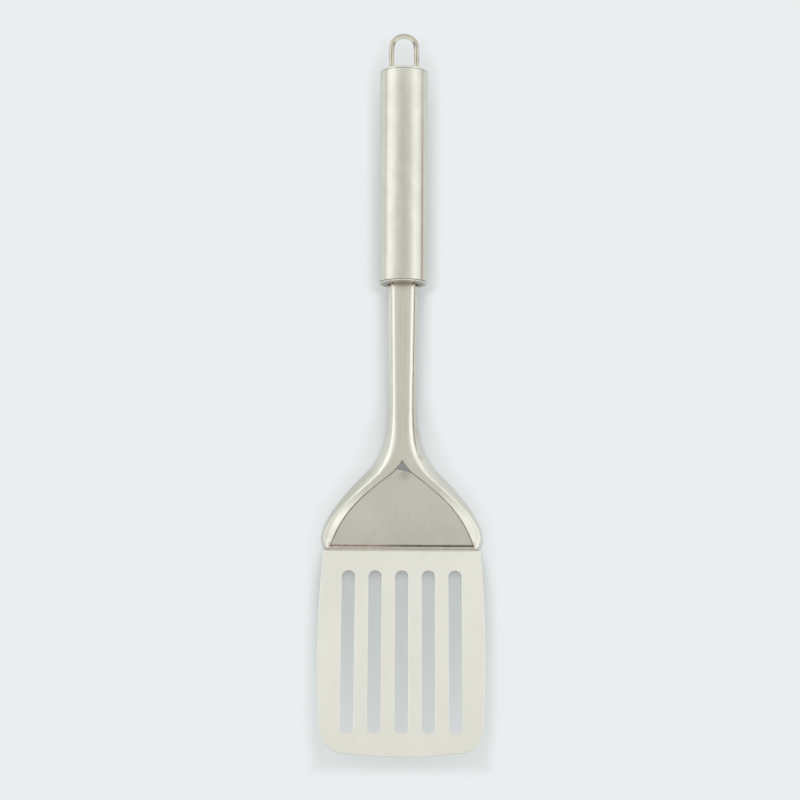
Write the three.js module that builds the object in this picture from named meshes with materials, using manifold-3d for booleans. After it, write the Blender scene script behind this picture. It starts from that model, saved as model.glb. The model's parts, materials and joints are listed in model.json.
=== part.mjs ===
// Slotted kitchen turner in stainless steel: a pressed neck holds a slotted blade at its front
// and is set at its back into a hollow round grip with a wire hanging loop.
// Millimetres. The tool is built along its grip line: X across, Y from the fold of the blade to the
// loop, Z up from the grip's axis. It is then laid on a table as it rests there by itself.
import * as THREE from "three";
import { mergeVertices } from "three/addons/utils/BufferGeometryUtils.js";
import Module from "manifold-3d";

// Sheet and clearances
const BLADE_SHEET = 1.2;
const NECK_SHEET = 1.2;
const LAP_GAP = 0.3; // between the neck and the tang under it
const FIT_GAP = 0.3; // round a piece that is set into another
const WELD_GAP = 0.05; // between a weld and the faces it joins

// Blade, in its own plane from the fold
const FOLD_ANGLE = THREE.MathUtils.degToRad(18.5);
const FOLD_RADIUS = 1; // inside the fold
const BLADE_LENGTH = 99.2;
const BLADE_BULGE = 1.5; // how far each side swells past the heel
const BLADE_SHRUG = 0.4; // how far it still stands out at the front corner
const FRONT_CORNER_ACROSS = 10.8;
const FRONT_CORNER_ALONG = 15;
const FRONT_SIDE_LEAN = 7.5; // how each side comes to its corner
const FRONT_BROW_LEAN = 7; // and how the front edge does
const FRONT_CROWN = 1.6; // rise of the curved front edge between its corners
const HEEL_INSET = 0.75; // from the shoulder's side to the blade's
const SLOT_COUNT = 5;
const SLOT_PITCH = 12.2;
const SLOT_WIDTH = 6;
const SLOT_START = 10.1; // from the fold to the slots
const SLOT_FRONT = 10.8; // from the slots to the front edge

// Tang, the part of the blade's sheet that lies under the neck
const TANG_LENGTH = 36.3; // to the middle of its slanted end
const TANG_SLANT = THREE.MathUtils.degToRad(13);

// Neck, from its front edge
const NECK_TOP = 2.7; // flat top above the grip's axis
const SHANK_LENGTH = 124; // front edge to the grip
const SHANK_GRIPPED = 22; // length inside the grip
const SHANK_WIDTH = 13.8; // at the grip
const SHANK_FLANK = 2.2; // plan width of a sloping side, at the grip
const SHANK_DEPTH = 5.5;
const FULL_DEPTH_PLACE = 40; // from where the channel has that depth
const SHANK_ROUND = 3; // outside radius along the top's edges
const WAIST_WIDTH = 13; // where the flare starts
const WAIST_FLANK = 2.6;
const FLARE_START = 70;
const WAIST_SWEEP = 25.2; // how far the waist's line leads into the flare
const ARM_PLACE = 32.2; // middle of the arms
const ARM_WIDTH = 40; // over both arms there
const ARM_FLANK = 6;
const ARM_SPREAD = THREE.MathUtils.degToRad(44); // between an arm and the grip line
const ARM_BACK_SWEEP = 12.6; // how far the arm's line leads back to the waist
const ARM_FRONT_SWEEP = 11.1; // and on to the shoulder
const ARM_ROUND = 4;
const SHOULDER_WIDTH = 74.1;
const SHOULDER_PLACE = 4.5;
const SHOULDER_SWEEP = 8.3; // how far the shoulder's line leads back to the arm
const SHOULDER_FLANK = 2.4;
const SHOULDER_DEPTH = 2.4;
const SHOULDER_LEAN = 3.4; // how much the top's edge still closes in above the shoulder
const LIP_INSET = 1.5; // rounding of the shoulder into the lip
const LIP_FLANK = 1;
const ROUND_SHARE = 0.8; // most that the rounding may take of a side's inside

// Window between the arms
const LIP_WIDTH = 0.9;
const WINDOW_RIM = 1.6; // flat left at the lower corners, inside the top's edge
const WINDOW_APEX = 41.1;
const WINDOW_HIP = new THREE.Vector2(4.7, 35.1); // where the sides draw in to the apex
const WINDOW_CORNER_LEAN = new THREE.Vector2(5.1, 16.2); // how each side leaves its lower corner
const WINDOW_HIP_LEAN = new THREE.Vector2(13.5, 10.4); // and how it comes to the hip
const WINDOW_APEX_LEAN = new THREE.Vector2(1.4, 2.7); // and to the apex

// Grip
const GRIP_LENGTH = 102.5; // collar's face to cap's face
const GRIP_DIAMETER = 22.6;
const TUBE_WALL = 0.6;
const COLLAR_BAND = 0.5; // part of the collar that shows past the tube
const COLLAR_ROUND = 0.4; // along the rim of its face
const CAP_BAND = 1.1; // the same on the cap
const CAP_ROUND = 0.9;
const END_PLATE = 1;
const SPIGOT_LENGTH = 5;
const SPIGOT_WALL = 0.8;

// Hanging loop
const WIRE_DIAMETER = 2.5;
const LOOP_SPAN = 11.85; // between the middles of the legs
const LOOP_HEIGHT = 18.3; // over the cap's face
const LEG_INSIDE = 3; // past the cap's plate

// Welds
const NECK_BEAD_RADIUS = 0.6;
const SEAM_RADIUS = 0.45;
const SEAM_FRONT = 9; // from the neck's front edge to the seams
const SEAM_STOP = 8; // from the seams to the tang's end
const SLOPE_STEP = 1; // over which the lean of the neck's side is taken
const LOOP_BEAD_RADIUS = 0.9;

// Fineness of the round forms
const ROUND_SIDES = 64;
const WIRE_SIDES = 16;
const LOOP_STEPS = 30;
const CURVE_STEPS = 8;
const CORNER_STEPS = 5;
const RIM_STEPS = 3;
const OUTLINE_STEPS = 40;
const FLARE_STATIONS = 44;
const SEAM_STEPS = 14;
const SEAM_SIDES = 8;
const TANG_STATIONS = 16;

const gripRadius = GRIP_DIAMETER / 2;
const wireRadius = WIRE_DIAMETER / 2;
const shoulderHalf = SHOULDER_WIDTH / 2;
const neckEnd = SHANK_LENGTH + SHANK_GRIPPED;
const capFace = SHANK_LENGTH + GRIP_LENGTH;
const tangTop = NECK_TOP - NECK_SHEET - LAP_GAP;
const heelStart = -FIT_GAP; // the fold starts just clear of the neck's front edge

const steel = { color: 0xd9d7cd, metalness: 1, roughness: 0.16 };
const polished = new THREE.MeshStandardMaterial(steel);
const satin = new THREE.MeshStandardMaterial({ ...steel, color: 0xd0cdc2, roughness: 0.36 });
const wire = new THREE.MeshStandardMaterial({ ...steel, color: 0xcac1a8, roughness: 0.2 });
const weld = new THREE.MeshStandardMaterial({ ...steel, color: 0xa39c8d, roughness: 0.5 });

const wasm = await Module();
wasm.setup();

// A closed geometry as a solid that can be joined and cut.
function solidOf(geometry) {
  const bare = new THREE.BufferGeometry();
  bare.setAttribute("position", geometry.getAttribute("position"));
  bare.setIndex(geometry.getIndex());
  const merged = mergeVertices(bare, 1e-4);
  const vertProperties = merged.getAttribute("position").array;
  const triVerts = new Uint32Array(merged.getIndex().array);
  return new wasm.Manifold(new wasm.Mesh({ numProp: 3, vertProperties, triVerts }));
}

function geometryOf(solid) {
  const { vertProperties, triVerts } = solid.getMesh();
  const geometry = new THREE.BufferGeometry();
  geometry.setAttribute("position", new THREE.BufferAttribute(vertProperties, 3));
  geometry.setIndex(new THREE.BufferAttribute(triVerts, 1));
  return geometry;
}

function piece(name, geometry, material) {
  const mesh = new THREE.Mesh(geometry, material);
  mesh.name = name;
  return mesh;
}

function extrude(shape, depth) {
  return new THREE.ExtrudeGeometry(shape, { depth, curveSegments: CURVE_STEPS, bevelEnabled: false });
}

// Puts a shape drawn in two of the tool's directions there, to be extruded along the third.
function placed(geometry, across, up, origin) {
  const along = new THREE.Vector3().crossVectors(across, up);
  const matrix = new THREE.Matrix4().makeBasis(across, up, along).setPosition(origin);
  return geometry.applyMatrix4(matrix);
}

const X = new THREE.Vector3(1, 0, 0);
const Y = new THREE.Vector3(0, 1, 0);
const Z = new THREE.Vector3(0, 0, 1);

// Half the neck's width along its length, for the outer edge or for the edge of its flat top.
function flareLine(inset) {
  const shank = SHANK_WIDTH / 2 - inset.shank;
  const waist = WAIST_WIDTH / 2 - inset.waist;
  const arm = ARM_WIDTH / 2 - inset.arm;
  const shoulder = shoulderHalf - inset.shoulder;
  const lip = shoulderHalf - LIP_INSET - inset.lip;
  const aslant = new THREE.Vector2(Math.sin(ARM_SPREAD), -Math.cos(ARM_SPREAD));
  const path = new THREE.Path();
  path.moveTo(shank, neckEnd);
  path.lineTo(shank, SHANK_LENGTH);
  path.lineTo(waist, FLARE_START);
  path.bezierCurveTo(
    waist, FLARE_START - WAIST_SWEEP,
    arm - ARM_BACK_SWEEP * aslant.x, ARM_PLACE - ARM_BACK_SWEEP * aslant.y,
    arm, ARM_PLACE,
  );
  path.bezierCurveTo(
    arm + ARM_FRONT_SWEEP * aslant.x, ARM_PLACE + ARM_FRONT_SWEEP * aslant.y,
    shoulder - inset.lean, SHOULDER_PLACE + SHOULDER_SWEEP,
    shoulder, SHOULDER_PLACE,
  );
  path.quadraticCurveTo(shoulder, SHOULDER_PLACE / 3, lip, 0);
  return path.getPoints(OUTLINE_STEPS);
}

const edgeLine = flareLine({ shank: 0, waist: 0, arm: 0, shoulder: 0, lip: 0, lean: 0 });
const ridgeLine = flareLine({
  shank: SHANK_FLANK,
  waist: WAIST_FLANK,
  arm: ARM_FLANK,
  shoulder: SHOULDER_FLANK,
  lip: LIP_FLANK,
  lean: SHOULDER_LEAN,
});

// Half width at a place along the neck.
function halfAt(line, place) {
  const next = Math.max(1, line.findIndex((point) => point.y <= place));
  const [far, near] = [line[next - 1], line[next]];
  const share = (far.y - place) / (far.y - near.y || 1);
  return THREE.MathUtils.lerp(far.x, near.x, share);
}

// The neck's cross-section at a place: a flat top with round edges and sides that slope down.
function sectionAt(place) {
  const open = THREE.MathUtils.smoothstep(place, SHOULDER_PLACE, FLARE_START);
  const edge = halfAt(edgeLine, place);
  const ridge = halfAt(ridgeLine, place);
  const sunk = THREE.MathUtils.smoothstep(place, SHOULDER_PLACE, FULL_DEPTH_PLACE);
  const depth = THREE.MathUtils.lerp(SHOULDER_DEPTH, SHANK_DEPTH, sunk);
  const slope = Math.atan2(depth, edge - ridge);
  const inside = (depth - NECK_SHEET) / Math.sin(slope);
  const most = NECK_SHEET + (ROUND_SHARE * inside) / Math.tan(slope / 2);
  const round = Math.min(THREE.MathUtils.lerp(ARM_ROUND, SHANK_ROUND, open), most);
  return { edge, ridge, depth, slope, round };
}

// One face of the cross-section, from its left edge over the top to its right edge. The inside face
// lies one sheet below the outside, and both end on the same level.
function sectionLine({ edge, ridge, depth, slope, round }, below) {
  const radius = round - below;
  const middle = ridge - (below + radius) * Math.tan(slope / 2);
  const right = [];
  for (let step = 0; step <= CORNER_STEPS; step++) {
    const angle = (slope * step) / CORNER_STEPS;
    const rise = NECK_TOP - below - radius + radius * Math.cos(angle);
    right.push(new THREE.Vector2(middle + radius * Math.sin(angle), rise));
  }
  right.push(new THREE.Vector2(edge - below / Math.sin(slope), NECK_TOP - depth));
  const left = right.map((point) => new THREE.Vector2(-point.x, point.y)).reverse();
  return [...left, ...right];
}

// A closed skin through rings of points, each ring at its place along the neck.
function loft(rings, places) {
  const count = rings[0].length;
  const positions = rings.flatMap((ring, i) => ring.flatMap((point) => [point.x, places[i], point.y]));
  const index = [];
  for (let i = 0; i + 1 < rings.length; i++) {
    for (let j = 0; j < count; j++) {
      const a = i * count + j;
      const b = i * count + ((j + 1) % count);
      index.push(a, a + count, b, b, a + count, b + count);
    }
  }
  const last = (rings.length - 1) * count;
  for (const [a, b, c] of THREE.ShapeUtils.triangulateShape(rings[0], [])) {
    index.push(c, b, a);
  }
  for (const [a, b, c] of THREE.ShapeUtils.triangulateShape(rings.at(-1), [])) {
    index.push(last + a, last + b, last + c);
  }
  const geometry = new THREE.BufferGeometry();
  geometry.setAttribute("position", new THREE.Float32BufferAttribute(positions, 3));
  geometry.setIndex(index);
  return geometry;
}

// An outline that is the same on both sides, from the half of it on the right.
function mirrored(half) {
  const left = half.map((point) => new THREE.Vector2(-point.x, point.y)).reverse();
  return new THREE.Shape([...half, ...left]);
}

// The opening between the arms: a straight lower side over the lip, swelling sides, a pointed top.
function windowShape() {
  const corner = shoulderHalf - SHOULDER_FLANK - WINDOW_RIM;
  const path = new THREE.Path();
  path.moveTo(corner, LIP_WIDTH);
  path.bezierCurveTo(
    corner - WINDOW_CORNER_LEAN.x, LIP_WIDTH + WINDOW_CORNER_LEAN.y,
    WINDOW_HIP.x + WINDOW_HIP_LEAN.x, WINDOW_HIP.y - WINDOW_HIP_LEAN.y,
    WINDOW_HIP.x, WINDOW_HIP.y,
  );
  path.quadraticCurveTo(WINDOW_APEX_LEAN.x, WINDOW_APEX - WINDOW_APEX_LEAN.y, 0, WINDOW_APEX);
  return mirrored(path.getPoints(2 * CURVE_STEPS));
}

function neckGeometry() {
  const places = [neckEnd, SHANK_LENGTH];
  for (let i = 0; i <= FLARE_STATIONS; i++) {
    places.push(FLARE_START * (1 - i / FLARE_STATIONS));
  }
  const rings = places.map((place) => {
    const section = sectionAt(place);
    return [...sectionLine(section, 0), ...sectionLine(section, NECK_SHEET).reverse()];
  });
  const deep = NECK_SHEET + SHANK_DEPTH;
  const opening = extrude(windowShape(), 2 * deep);
  opening.translate(0, 0, NECK_TOP - deep);
  return geometryOf(solidOf(loft(rings, places)).subtract(solidOf(opening)));
}

// Half the tang's width: it just clears the inside of the neck's sloping sides.
function tangHalfAt(place) {
  const { ridge, slope } = sectionAt(place);
  const corner = ridge - NECK_SHEET * Math.tan(slope / 2);
  return corner + LAP_GAP / Math.tan(slope) - FIT_GAP;
}

// The bent sheet from the side, as a slab across the whole blade.
function bentSlab(width) {
  const far = TANG_LENGTH + width;
  const long = 2 * BLADE_LENGTH;
  const ahead = new THREE.Vector2(-Math.cos(FOLD_ANGLE), Math.sin(FOLD_ANGLE)).multiplyScalar(long);
  const centre = new THREE.Vector2(heelStart, tangTop + FOLD_RADIUS);
  const under = FOLD_RADIUS + BLADE_SHEET;
  const down = -Math.PI / 2;
  const end = (radius) => [
    centre.x - radius * Math.sin(FOLD_ANGLE) + ahead.x,
    centre.y - radius * Math.cos(FOLD_ANGLE) + ahead.y,
  ];
  const shape = new THREE.Shape();
  shape.moveTo(far, tangTop - BLADE_SHEET);
  shape.lineTo(far, tangTop);
  shape.absarc(centre.x, centre.y, FOLD_RADIUS, down, down - FOLD_ANGLE, true);
  shape.lineTo(...end(FOLD_RADIUS));
  shape.lineTo(...end(under));
  shape.absarc(centre.x, centre.y, under, down - FOLD_ANGLE, down, false);
  shape.closePath();
  return placed(extrude(shape, width), Y, Z, new THREE.Vector3(-width / 2, 0, 0));
}

function slotHole(middle) {
  const radius = SLOT_WIDTH / 2;
  const hole = new THREE.Path();
  hole.absarc(middle, SLOT_START + radius, radius, Math.PI, 2 * Math.PI, false);
  hole.absarc(middle, BLADE_LENGTH - SLOT_FRONT - radius, radius, 0, Math.PI, false);
  hole.closePath();
  return hole;
}

// Outline of blade and tang in the blade's plane, with the slots. The second number runs forward
// from the fold, so the tang's places are negative, and shortened as the blade's plane sees them.
function bladeShape() {
  const heel = shoulderHalf - HEEL_INSET;
  const front = heel - FRONT_CORNER_ACROSS;
  const side = BLADE_LENGTH - FRONT_CORNER_ALONG;
  const brow = BLADE_LENGTH - FRONT_CROWN;
  const path = new THREE.Path();
  path.moveTo(tangHalfAt(WINDOW_APEX), (heelStart - WINDOW_APEX) * Math.cos(FOLD_ANGLE));
  for (let i = TANG_STATIONS - 1; i >= 0; i--) {
    const place = (WINDOW_APEX * i) / TANG_STATIONS;
    path.lineTo(tangHalfAt(place), (heelStart - place) * Math.cos(FOLD_ANGLE));
  }
  path.lineTo(tangHalfAt(0), 0);
  path.lineTo(heel, 0);
  path.quadraticCurveTo(heel + 2 * BLADE_BULGE, side / 2, heel + BLADE_SHRUG, side);
  path.bezierCurveTo(
    heel, side + FRONT_SIDE_LEAN,
    front + FRONT_BROW_LEAN, brow,
    front, brow,
  );
  path.quadraticCurveTo(front / 2, BLADE_LENGTH, 0, BLADE_LENGTH);
  const shape = mirrored(path.getPoints(2 * CURVE_STEPS));
  for (let i = 0; i < SLOT_COUNT; i++) {
    shape.holes.push(slotHole((i - (SLOT_COUNT - 1) / 2) * SLOT_PITCH));
  }
  return shape;
}

function bladeGeometry() {
  const width = 2 * SHOULDER_WIDTH;
  const tall = BLADE_LENGTH;
  const forward = new THREE.Vector3(0, -Math.cos(FOLD_ANGLE), Math.sin(FOLD_ANGLE));
  const fold = new THREE.Vector3(
    0,
    heelStart - FOLD_RADIUS * Math.sin(FOLD_ANGLE),
    tangTop + FOLD_RADIUS * (1 - Math.cos(FOLD_ANGLE)),
  );
  const side = X.clone().negate();
  const normal = new THREE.Vector3().crossVectors(side, forward);
  const outline = placed(
    extrude(bladeShape(), tall), side, forward,
    fold.clone().addScaledVector(normal, -tall / 2),
  );
  const trim = new THREE.BoxGeometry(2 * width, width, tall);
  trim.translate(0, width / 2, 0);
  trim.rotateZ(-TANG_SLANT);
  trim.translate(0, TANG_LENGTH, tangTop);
  const sheet = solidOf(bentSlab(width)).intersect(solidOf(outline));
  return geometryOf(sheet.subtract(solidOf(trim)));
}

// A cap that closes one end of the grip: plate, rounded rim, and a spigot that goes into the tube.
// The places run from its outer face inwards.
function endCapGeometry(band, round) {
  const spigot = gripRadius - TUBE_WALL - FIT_GAP;
  const profile = new THREE.Path();
  profile.moveTo(0, 0);
  profile.lineTo(gripRadius - round, 0);
  profile.absarc(gripRadius - round, round, round, -Math.PI / 2, 0, false);
  profile.lineTo(gripRadius, band);
  profile.lineTo(spigot, band);
  profile.lineTo(spigot, band + SPIGOT_LENGTH);
  profile.lineTo(spigot - SPIGOT_WALL, band + SPIGOT_LENGTH);
  profile.lineTo(spigot - SPIGOT_WALL, END_PLATE);
  profile.lineTo(0, END_PLATE);
  return new THREE.LatheGeometry(profile.getPoints(RIM_STEPS), ROUND_SIDES);
}

function collarGeometry() {
  const section = sectionAt(SHANK_LENGTH);
  const hole = {
    ...section,
    edge: section.edge + 2 * FIT_GAP,
    ridge: section.ridge + FIT_GAP,
    depth: section.depth + FIT_GAP,
  };
  const line = sectionLine(hole, 0).map((point) => new THREE.Vector2(point.x, point.y + FIT_GAP / 2));
  const through = new THREE.Vector3(0, GRIP_LENGTH / 2, 0);
  const cutter = placed(extrude(new THREE.Shape(line), GRIP_LENGTH), X, Z, through);
  const collar = solidOf(endCapGeometry(COLLAR_BAND, COLLAR_ROUND)).subtract(solidOf(cutter));
  return geometryOf(collar).translate(0, SHANK_LENGTH, 0);
}

function buttCapGeometry() {
  let cap = solidOf(endCapGeometry(CAP_BAND, CAP_ROUND));
  for (const side of [-1, 1]) {
    const radius = wireRadius + FIT_GAP;
    const hole = new THREE.CylinderGeometry(radius, radius, GRIP_LENGTH, 2 * WIRE_SIDES);
    hole.translate((side * LOOP_SPAN) / 2, 0, 0);
    cap = cap.subtract(solidOf(hole));
  }
  return geometryOf(cap).rotateX(Math.PI).translate(0, capFace, 0);
}

function tubeGeometry() {
  const front = SHANK_LENGTH + COLLAR_BAND + FIT_GAP;
  const back = capFace - CAP_BAND - FIT_GAP;
  const inner = gripRadius - TUBE_WALL;
  const profile = [[inner, front], [gripRadius, front], [gripRadius, back], [inner, back], [inner, front]];
  const points = profile.map(([radius, place]) => new THREE.Vector2(radius, place));
  return new THREE.LatheGeometry(points, ROUND_SIDES);
}

// Middle line of the wire: up one leg, round the bow and down the other leg.
class LoopLine extends THREE.Curve {
  getPoint(share, target = new THREE.Vector3()) {
    const bow = LOOP_SPAN / 2;
    const start = capFace - END_PLATE - LEG_INSIDE;
    const leg = capFace + LOOP_HEIGHT - wireRadius - bow - start;
    const along = share * (2 * leg + Math.PI * bow);
    const turn = THREE.MathUtils.clamp((along - leg) / bow, 0, Math.PI);
    const straight = Math.min(along, leg, 2 * leg + Math.PI * bow - along);
    return target.set(-bow * Math.cos(turn), start + straight + bow * Math.sin(turn), 0);
  }
}

function loopGeometry() {
  const section = new THREE.Shape().absarc(0, 0, wireRadius, 0, 2 * Math.PI, false);
  return new THREE.ExtrudeGeometry(section, {
    steps: LOOP_STEPS,
    curveSegments: WIRE_SIDES / 2,
    extrudePath: new LoopLine(),
  });
}

// A bead on the collar's face, in the angle with the rounded edge of the shank's top.
function neckBeadGeometry(side) {
  const { ridge, slope, round } = sectionAt(SHANK_LENGTH);
  const reach = round + NECK_BEAD_RADIUS + WELD_GAP;
  const bead = new THREE.SphereGeometry(NECK_BEAD_RADIUS, WIRE_SIDES, WIRE_SIDES / 2);
  const x = ridge - round * Math.tan(slope / 2) + reach * Math.sin(slope / 2);
  const z = NECK_TOP - round + reach * Math.cos(slope / 2);
  return bead.translate(side * x, SHANK_LENGTH - NECK_BEAD_RADIUS - WELD_GAP, z);
}

// Middle line of the weld run in the groove between the tang's side and the neck's sloping side.
class SeamLine extends THREE.Curve {
  constructor(side) {
    super();
    this.side = side;
  }
  getPoint(share, target = new THREE.Vector3()) {
    const place = THREE.MathUtils.lerp(SEAM_FRONT, TANG_LENGTH - SEAM_STOP, share);
    const { ridge, slope } = sectionAt(place);
    const corner = ridge - NECK_SHEET * Math.tan(slope / 2);
    const clear = SEAM_RADIUS + WELD_GAP;
    const widening = halfAt(edgeLine, place - SLOPE_STEP) - halfAt(edgeLine, place);
    const spread = Math.cos(Math.atan2(widening, SLOPE_STEP));
    const x = tangHalfAt(place) + clear / spread;
    const drop = NECK_SHEET + (clear / spread + (x - corner) * Math.sin(slope)) / Math.cos(slope);
    return target.set(this.side * x, place, NECK_TOP - drop);
  }
}

function seamGeometry(side) {
  const section = new THREE.Shape().absarc(0, 0, SEAM_RADIUS, 0, 2 * Math.PI, false);
  return new THREE.ExtrudeGeometry(section, {
    steps: SEAM_STEPS,
    curveSegments: SEAM_SIDES / 2,
    extrudePath: new SeamLine(side),
  });
}

// A ring of weld round a leg of the wire, under the cap's plate.
function loopBeadGeometry(side) {
  const inner = wireRadius + WELD_GAP;
  const profile = new THREE.Path();
  profile.moveTo(inner, 0);
  profile.lineTo(inner, -LOOP_BEAD_RADIUS);
  profile.absarc(inner, 0, LOOP_BEAD_RADIUS, -Math.PI / 2, 0, false);
  profile.lineTo(inner, 0);
  const ring = new THREE.LatheGeometry(profile.getPoints(RIM_STEPS), 2 * WIRE_SIDES);
  return ring.translate((side * LOOP_SPAN) / 2, capFace - END_PLATE - WELD_GAP, 0);
}

// How far the grip line rises from the table: the tool lies on the round underside of its fold and
// on the lowest point of the collar's rounded rim.
function restTilt() {
  const fold = new THREE.Vector2(heelStart, tangTop + FOLD_RADIUS);
  const rim = new THREE.Vector2(SHANK_LENGTH + COLLAR_ROUND, COLLAR_ROUND - gripRadius);
  const apart = rim.clone().sub(fold);
  const drop = (COLLAR_ROUND - FOLD_RADIUS - BLADE_SHEET) / apart.length();
  return Math.asin(drop) - Math.atan2(apart.y, apart.x);
}

const tool = new THREE.Group();
tool.add(
  piece("blade", bladeGeometry(), polished),
  piece("neck", neckGeometry(), polished),
  piece("handle_tube", tubeGeometry(), satin),
  piece("front_collar", collarGeometry(), polished),
  piece("butt_cap", buttCapGeometry(), polished),
  piece("hanging_loop", loopGeometry(), wire),
);
for (const [name, side] of [["left", -1], ["right", 1]]) {
  tool.add(
    piece(`neck_weld_${name}`, neckBeadGeometry(side), weld),
    piece(`blade_weld_${name}`, seamGeometry(side), weld),
    piece(`loop_weld_${name}`, loopBeadGeometry(side), weld),
  );
}

// On the table, with the origin under the middle of the whole tool.
tool.rotation.x = restTilt();
const box = new THREE.Box3().setFromObject(tool, true);
tool.position.set(0, -(box.min.y + box.max.y) / 2, -box.min.z);

const turner = new THREE.Group();
turner.name = "slotted_turner";
turner.add(tool);

export default turner;
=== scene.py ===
"""Looks of a slotted kitchen turner in stainless steel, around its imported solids.

Every piece is drawn in the grip's own space: X across the tool, Y along the grip line from the
neck's front edge to the hanging loop, Z up from the grip's axis. Lengths are metres.
"""

import json
import math

import bmesh
import bpy
from bpy.props import FloatProperty, FloatVectorProperty, IntProperty, PointerProperty
from mathutils import Matrix, Vector, noise


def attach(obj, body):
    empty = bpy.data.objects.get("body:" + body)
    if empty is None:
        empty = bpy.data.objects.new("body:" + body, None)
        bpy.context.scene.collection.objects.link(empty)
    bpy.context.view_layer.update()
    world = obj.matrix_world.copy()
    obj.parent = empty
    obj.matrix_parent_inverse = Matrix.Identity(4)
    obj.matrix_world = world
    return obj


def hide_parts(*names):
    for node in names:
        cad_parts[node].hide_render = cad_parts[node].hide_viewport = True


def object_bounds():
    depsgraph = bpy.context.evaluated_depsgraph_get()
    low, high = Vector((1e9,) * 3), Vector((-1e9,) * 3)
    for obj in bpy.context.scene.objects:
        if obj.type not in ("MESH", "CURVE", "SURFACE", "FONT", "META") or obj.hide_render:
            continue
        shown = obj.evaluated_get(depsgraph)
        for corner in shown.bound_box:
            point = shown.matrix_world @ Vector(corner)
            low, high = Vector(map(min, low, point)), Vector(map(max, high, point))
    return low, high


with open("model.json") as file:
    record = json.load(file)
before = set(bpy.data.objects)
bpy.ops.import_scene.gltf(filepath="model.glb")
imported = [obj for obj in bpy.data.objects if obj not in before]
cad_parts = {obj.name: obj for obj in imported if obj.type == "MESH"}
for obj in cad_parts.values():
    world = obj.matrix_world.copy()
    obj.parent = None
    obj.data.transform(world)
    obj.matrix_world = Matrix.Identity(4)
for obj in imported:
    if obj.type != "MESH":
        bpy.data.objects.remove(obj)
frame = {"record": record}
CAD_BOX = [list(corner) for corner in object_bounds()]
EYE = next(mount for mount in frame["record"]["mounts"] if mount["name"] == "hanging_eye")

bl_info = {
    "name": "Slotted Turner",
    "version": (1, 0, 0),
    "blender": (4, 5, 0),
    "location": "View3D > Sidebar > Turner",
    "description": "Builds the pieces of a slotted steel turner and the stage it lies on",
    "category": "Add Mesh",
}

IMAGE_PIXELS = 800

# How near, in metres, points are one point, a point is on another and a point is on a face
ONE_POINT, ON_POINT, ON_FACE = 1e-7, 1e-6, 1e-5
SEARCH_STEPS = 40
# Edges are shaded smooth below the first angle and rounded above the second
SMOOTH_BELOW, ROUND_ABOVE = math.radians(18), math.radians(42)
# A slot's ends stop just short of a half circle, so that its corners stay apart
ROUND_END = 0.998
# Height of the fine relief of a surface
RELIEF = 0.0001

# Marks on a piece's points: heat tint, grime and dullness, which also carry painted shade and painted dark
# reflections
MARKS = ("tint", "grime_and_shade", "dull_and_shade")
# Widths of the heat tint with painted gap shade along the window, of the painted shade and residue along the lip and
# of the tint at the collar
RIM_TINT_AND_SHADE, CREVICE, COLLAR_TINT = 0.0003, 0.0006, 0.003
# Painted shade by the pocket and a stain on the shank: place across, place along and radius
POCKET_SHADE = (0.0012, 0.0345, 0.0024)
SHANK_STAIN = (0.0081, 0.0425, 0.0016)
# Painted dark reflection lines along the tube: degrees round it, strength in front and at the back, colour
REFLECTION_LINES = ((39, 0.9, 0.45, (0.5, 0.37, 0.34)), (138, 0.35, 0.6, (0.6, 0.53, 0.42)))

# Share of the way from the blade's front to the loop, and half the tool's width there as a share of the blade's
OUTLINE = [(0.0, 0.95), (0.04, 1.0), (0.3, 1.0), (0.32, 0.98), (0.338, 0.92), (0.351, 0.85), (0.377, 0.67)]
OUTLINE += [(0.404, 0.48), (0.43, 0.39), (0.47, 0.25), (0.5, 0.2), (0.64, 0.2), (0.65, 0.3), (0.97, 0.3), (1.0, 0.18)]
# Sine of a height in the sky, and the sky's level there
SKY = [(0.0, 0.76), (0.1, 0.81), (0.2, 0.9), (0.342, 0.98), (0.5, 0.975), (0.643, 0.89)]
SKY += [(0.766, 0.765), (0.866, 0.66), (0.94, 0.59), (0.985, 0.55), (1.0, 0.54)]
SKY_STRENGTH = 1.17
# How far along the tool a direction points, from and to, and the sky's share there
SKY_AT_BACK, SKY_IN_FRONT = (0.48, 0.78, 1, 0.74), (-0.8, -0.2, 0.82, 1)
# Height where the sky turns warm, and its loss of green and blue overhead
SKY_WARM, GREEN_LOSS, BLUE_LOSS = 0.7, 0.012, 0.06
# Soft boxes: place, width and height, power
SOFT_BOXES = {
    "left": ((-1.37, 0.3, 0.45), (1.6, 0.5), 0.4),
    "right": ((1.15, 0.1, 0.97), (1.6, 0.7), 0.45),
    "back": ((0, 0.82, 1.25), (1.4, 0.65), 0.53),
    "back_left": ((-0.92, 0.68, 0.92), (0.6, 0.6), 0.3),
    "front": ((0, -1.2, 0.9), (1.6, 0.9), 0.6),
}


def length(name, description, default):
    return FloatProperty(name=name, description=description, default=default, min=0, unit="LENGTH", precision=5)


def angle(name, description, default):
    return FloatProperty(name=name, description=description, default=math.radians(default), unit="ROTATION")


def colour(name, description, default):
    return FloatVectorProperty(
        name=name, description=description, default=default, size=3, min=0, max=1, subtype="COLOR"
    )


def factor(name, description, default):
    return FloatProperty(name=name, description=description, default=default, min=0, max=1, subtype="FACTOR")


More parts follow.
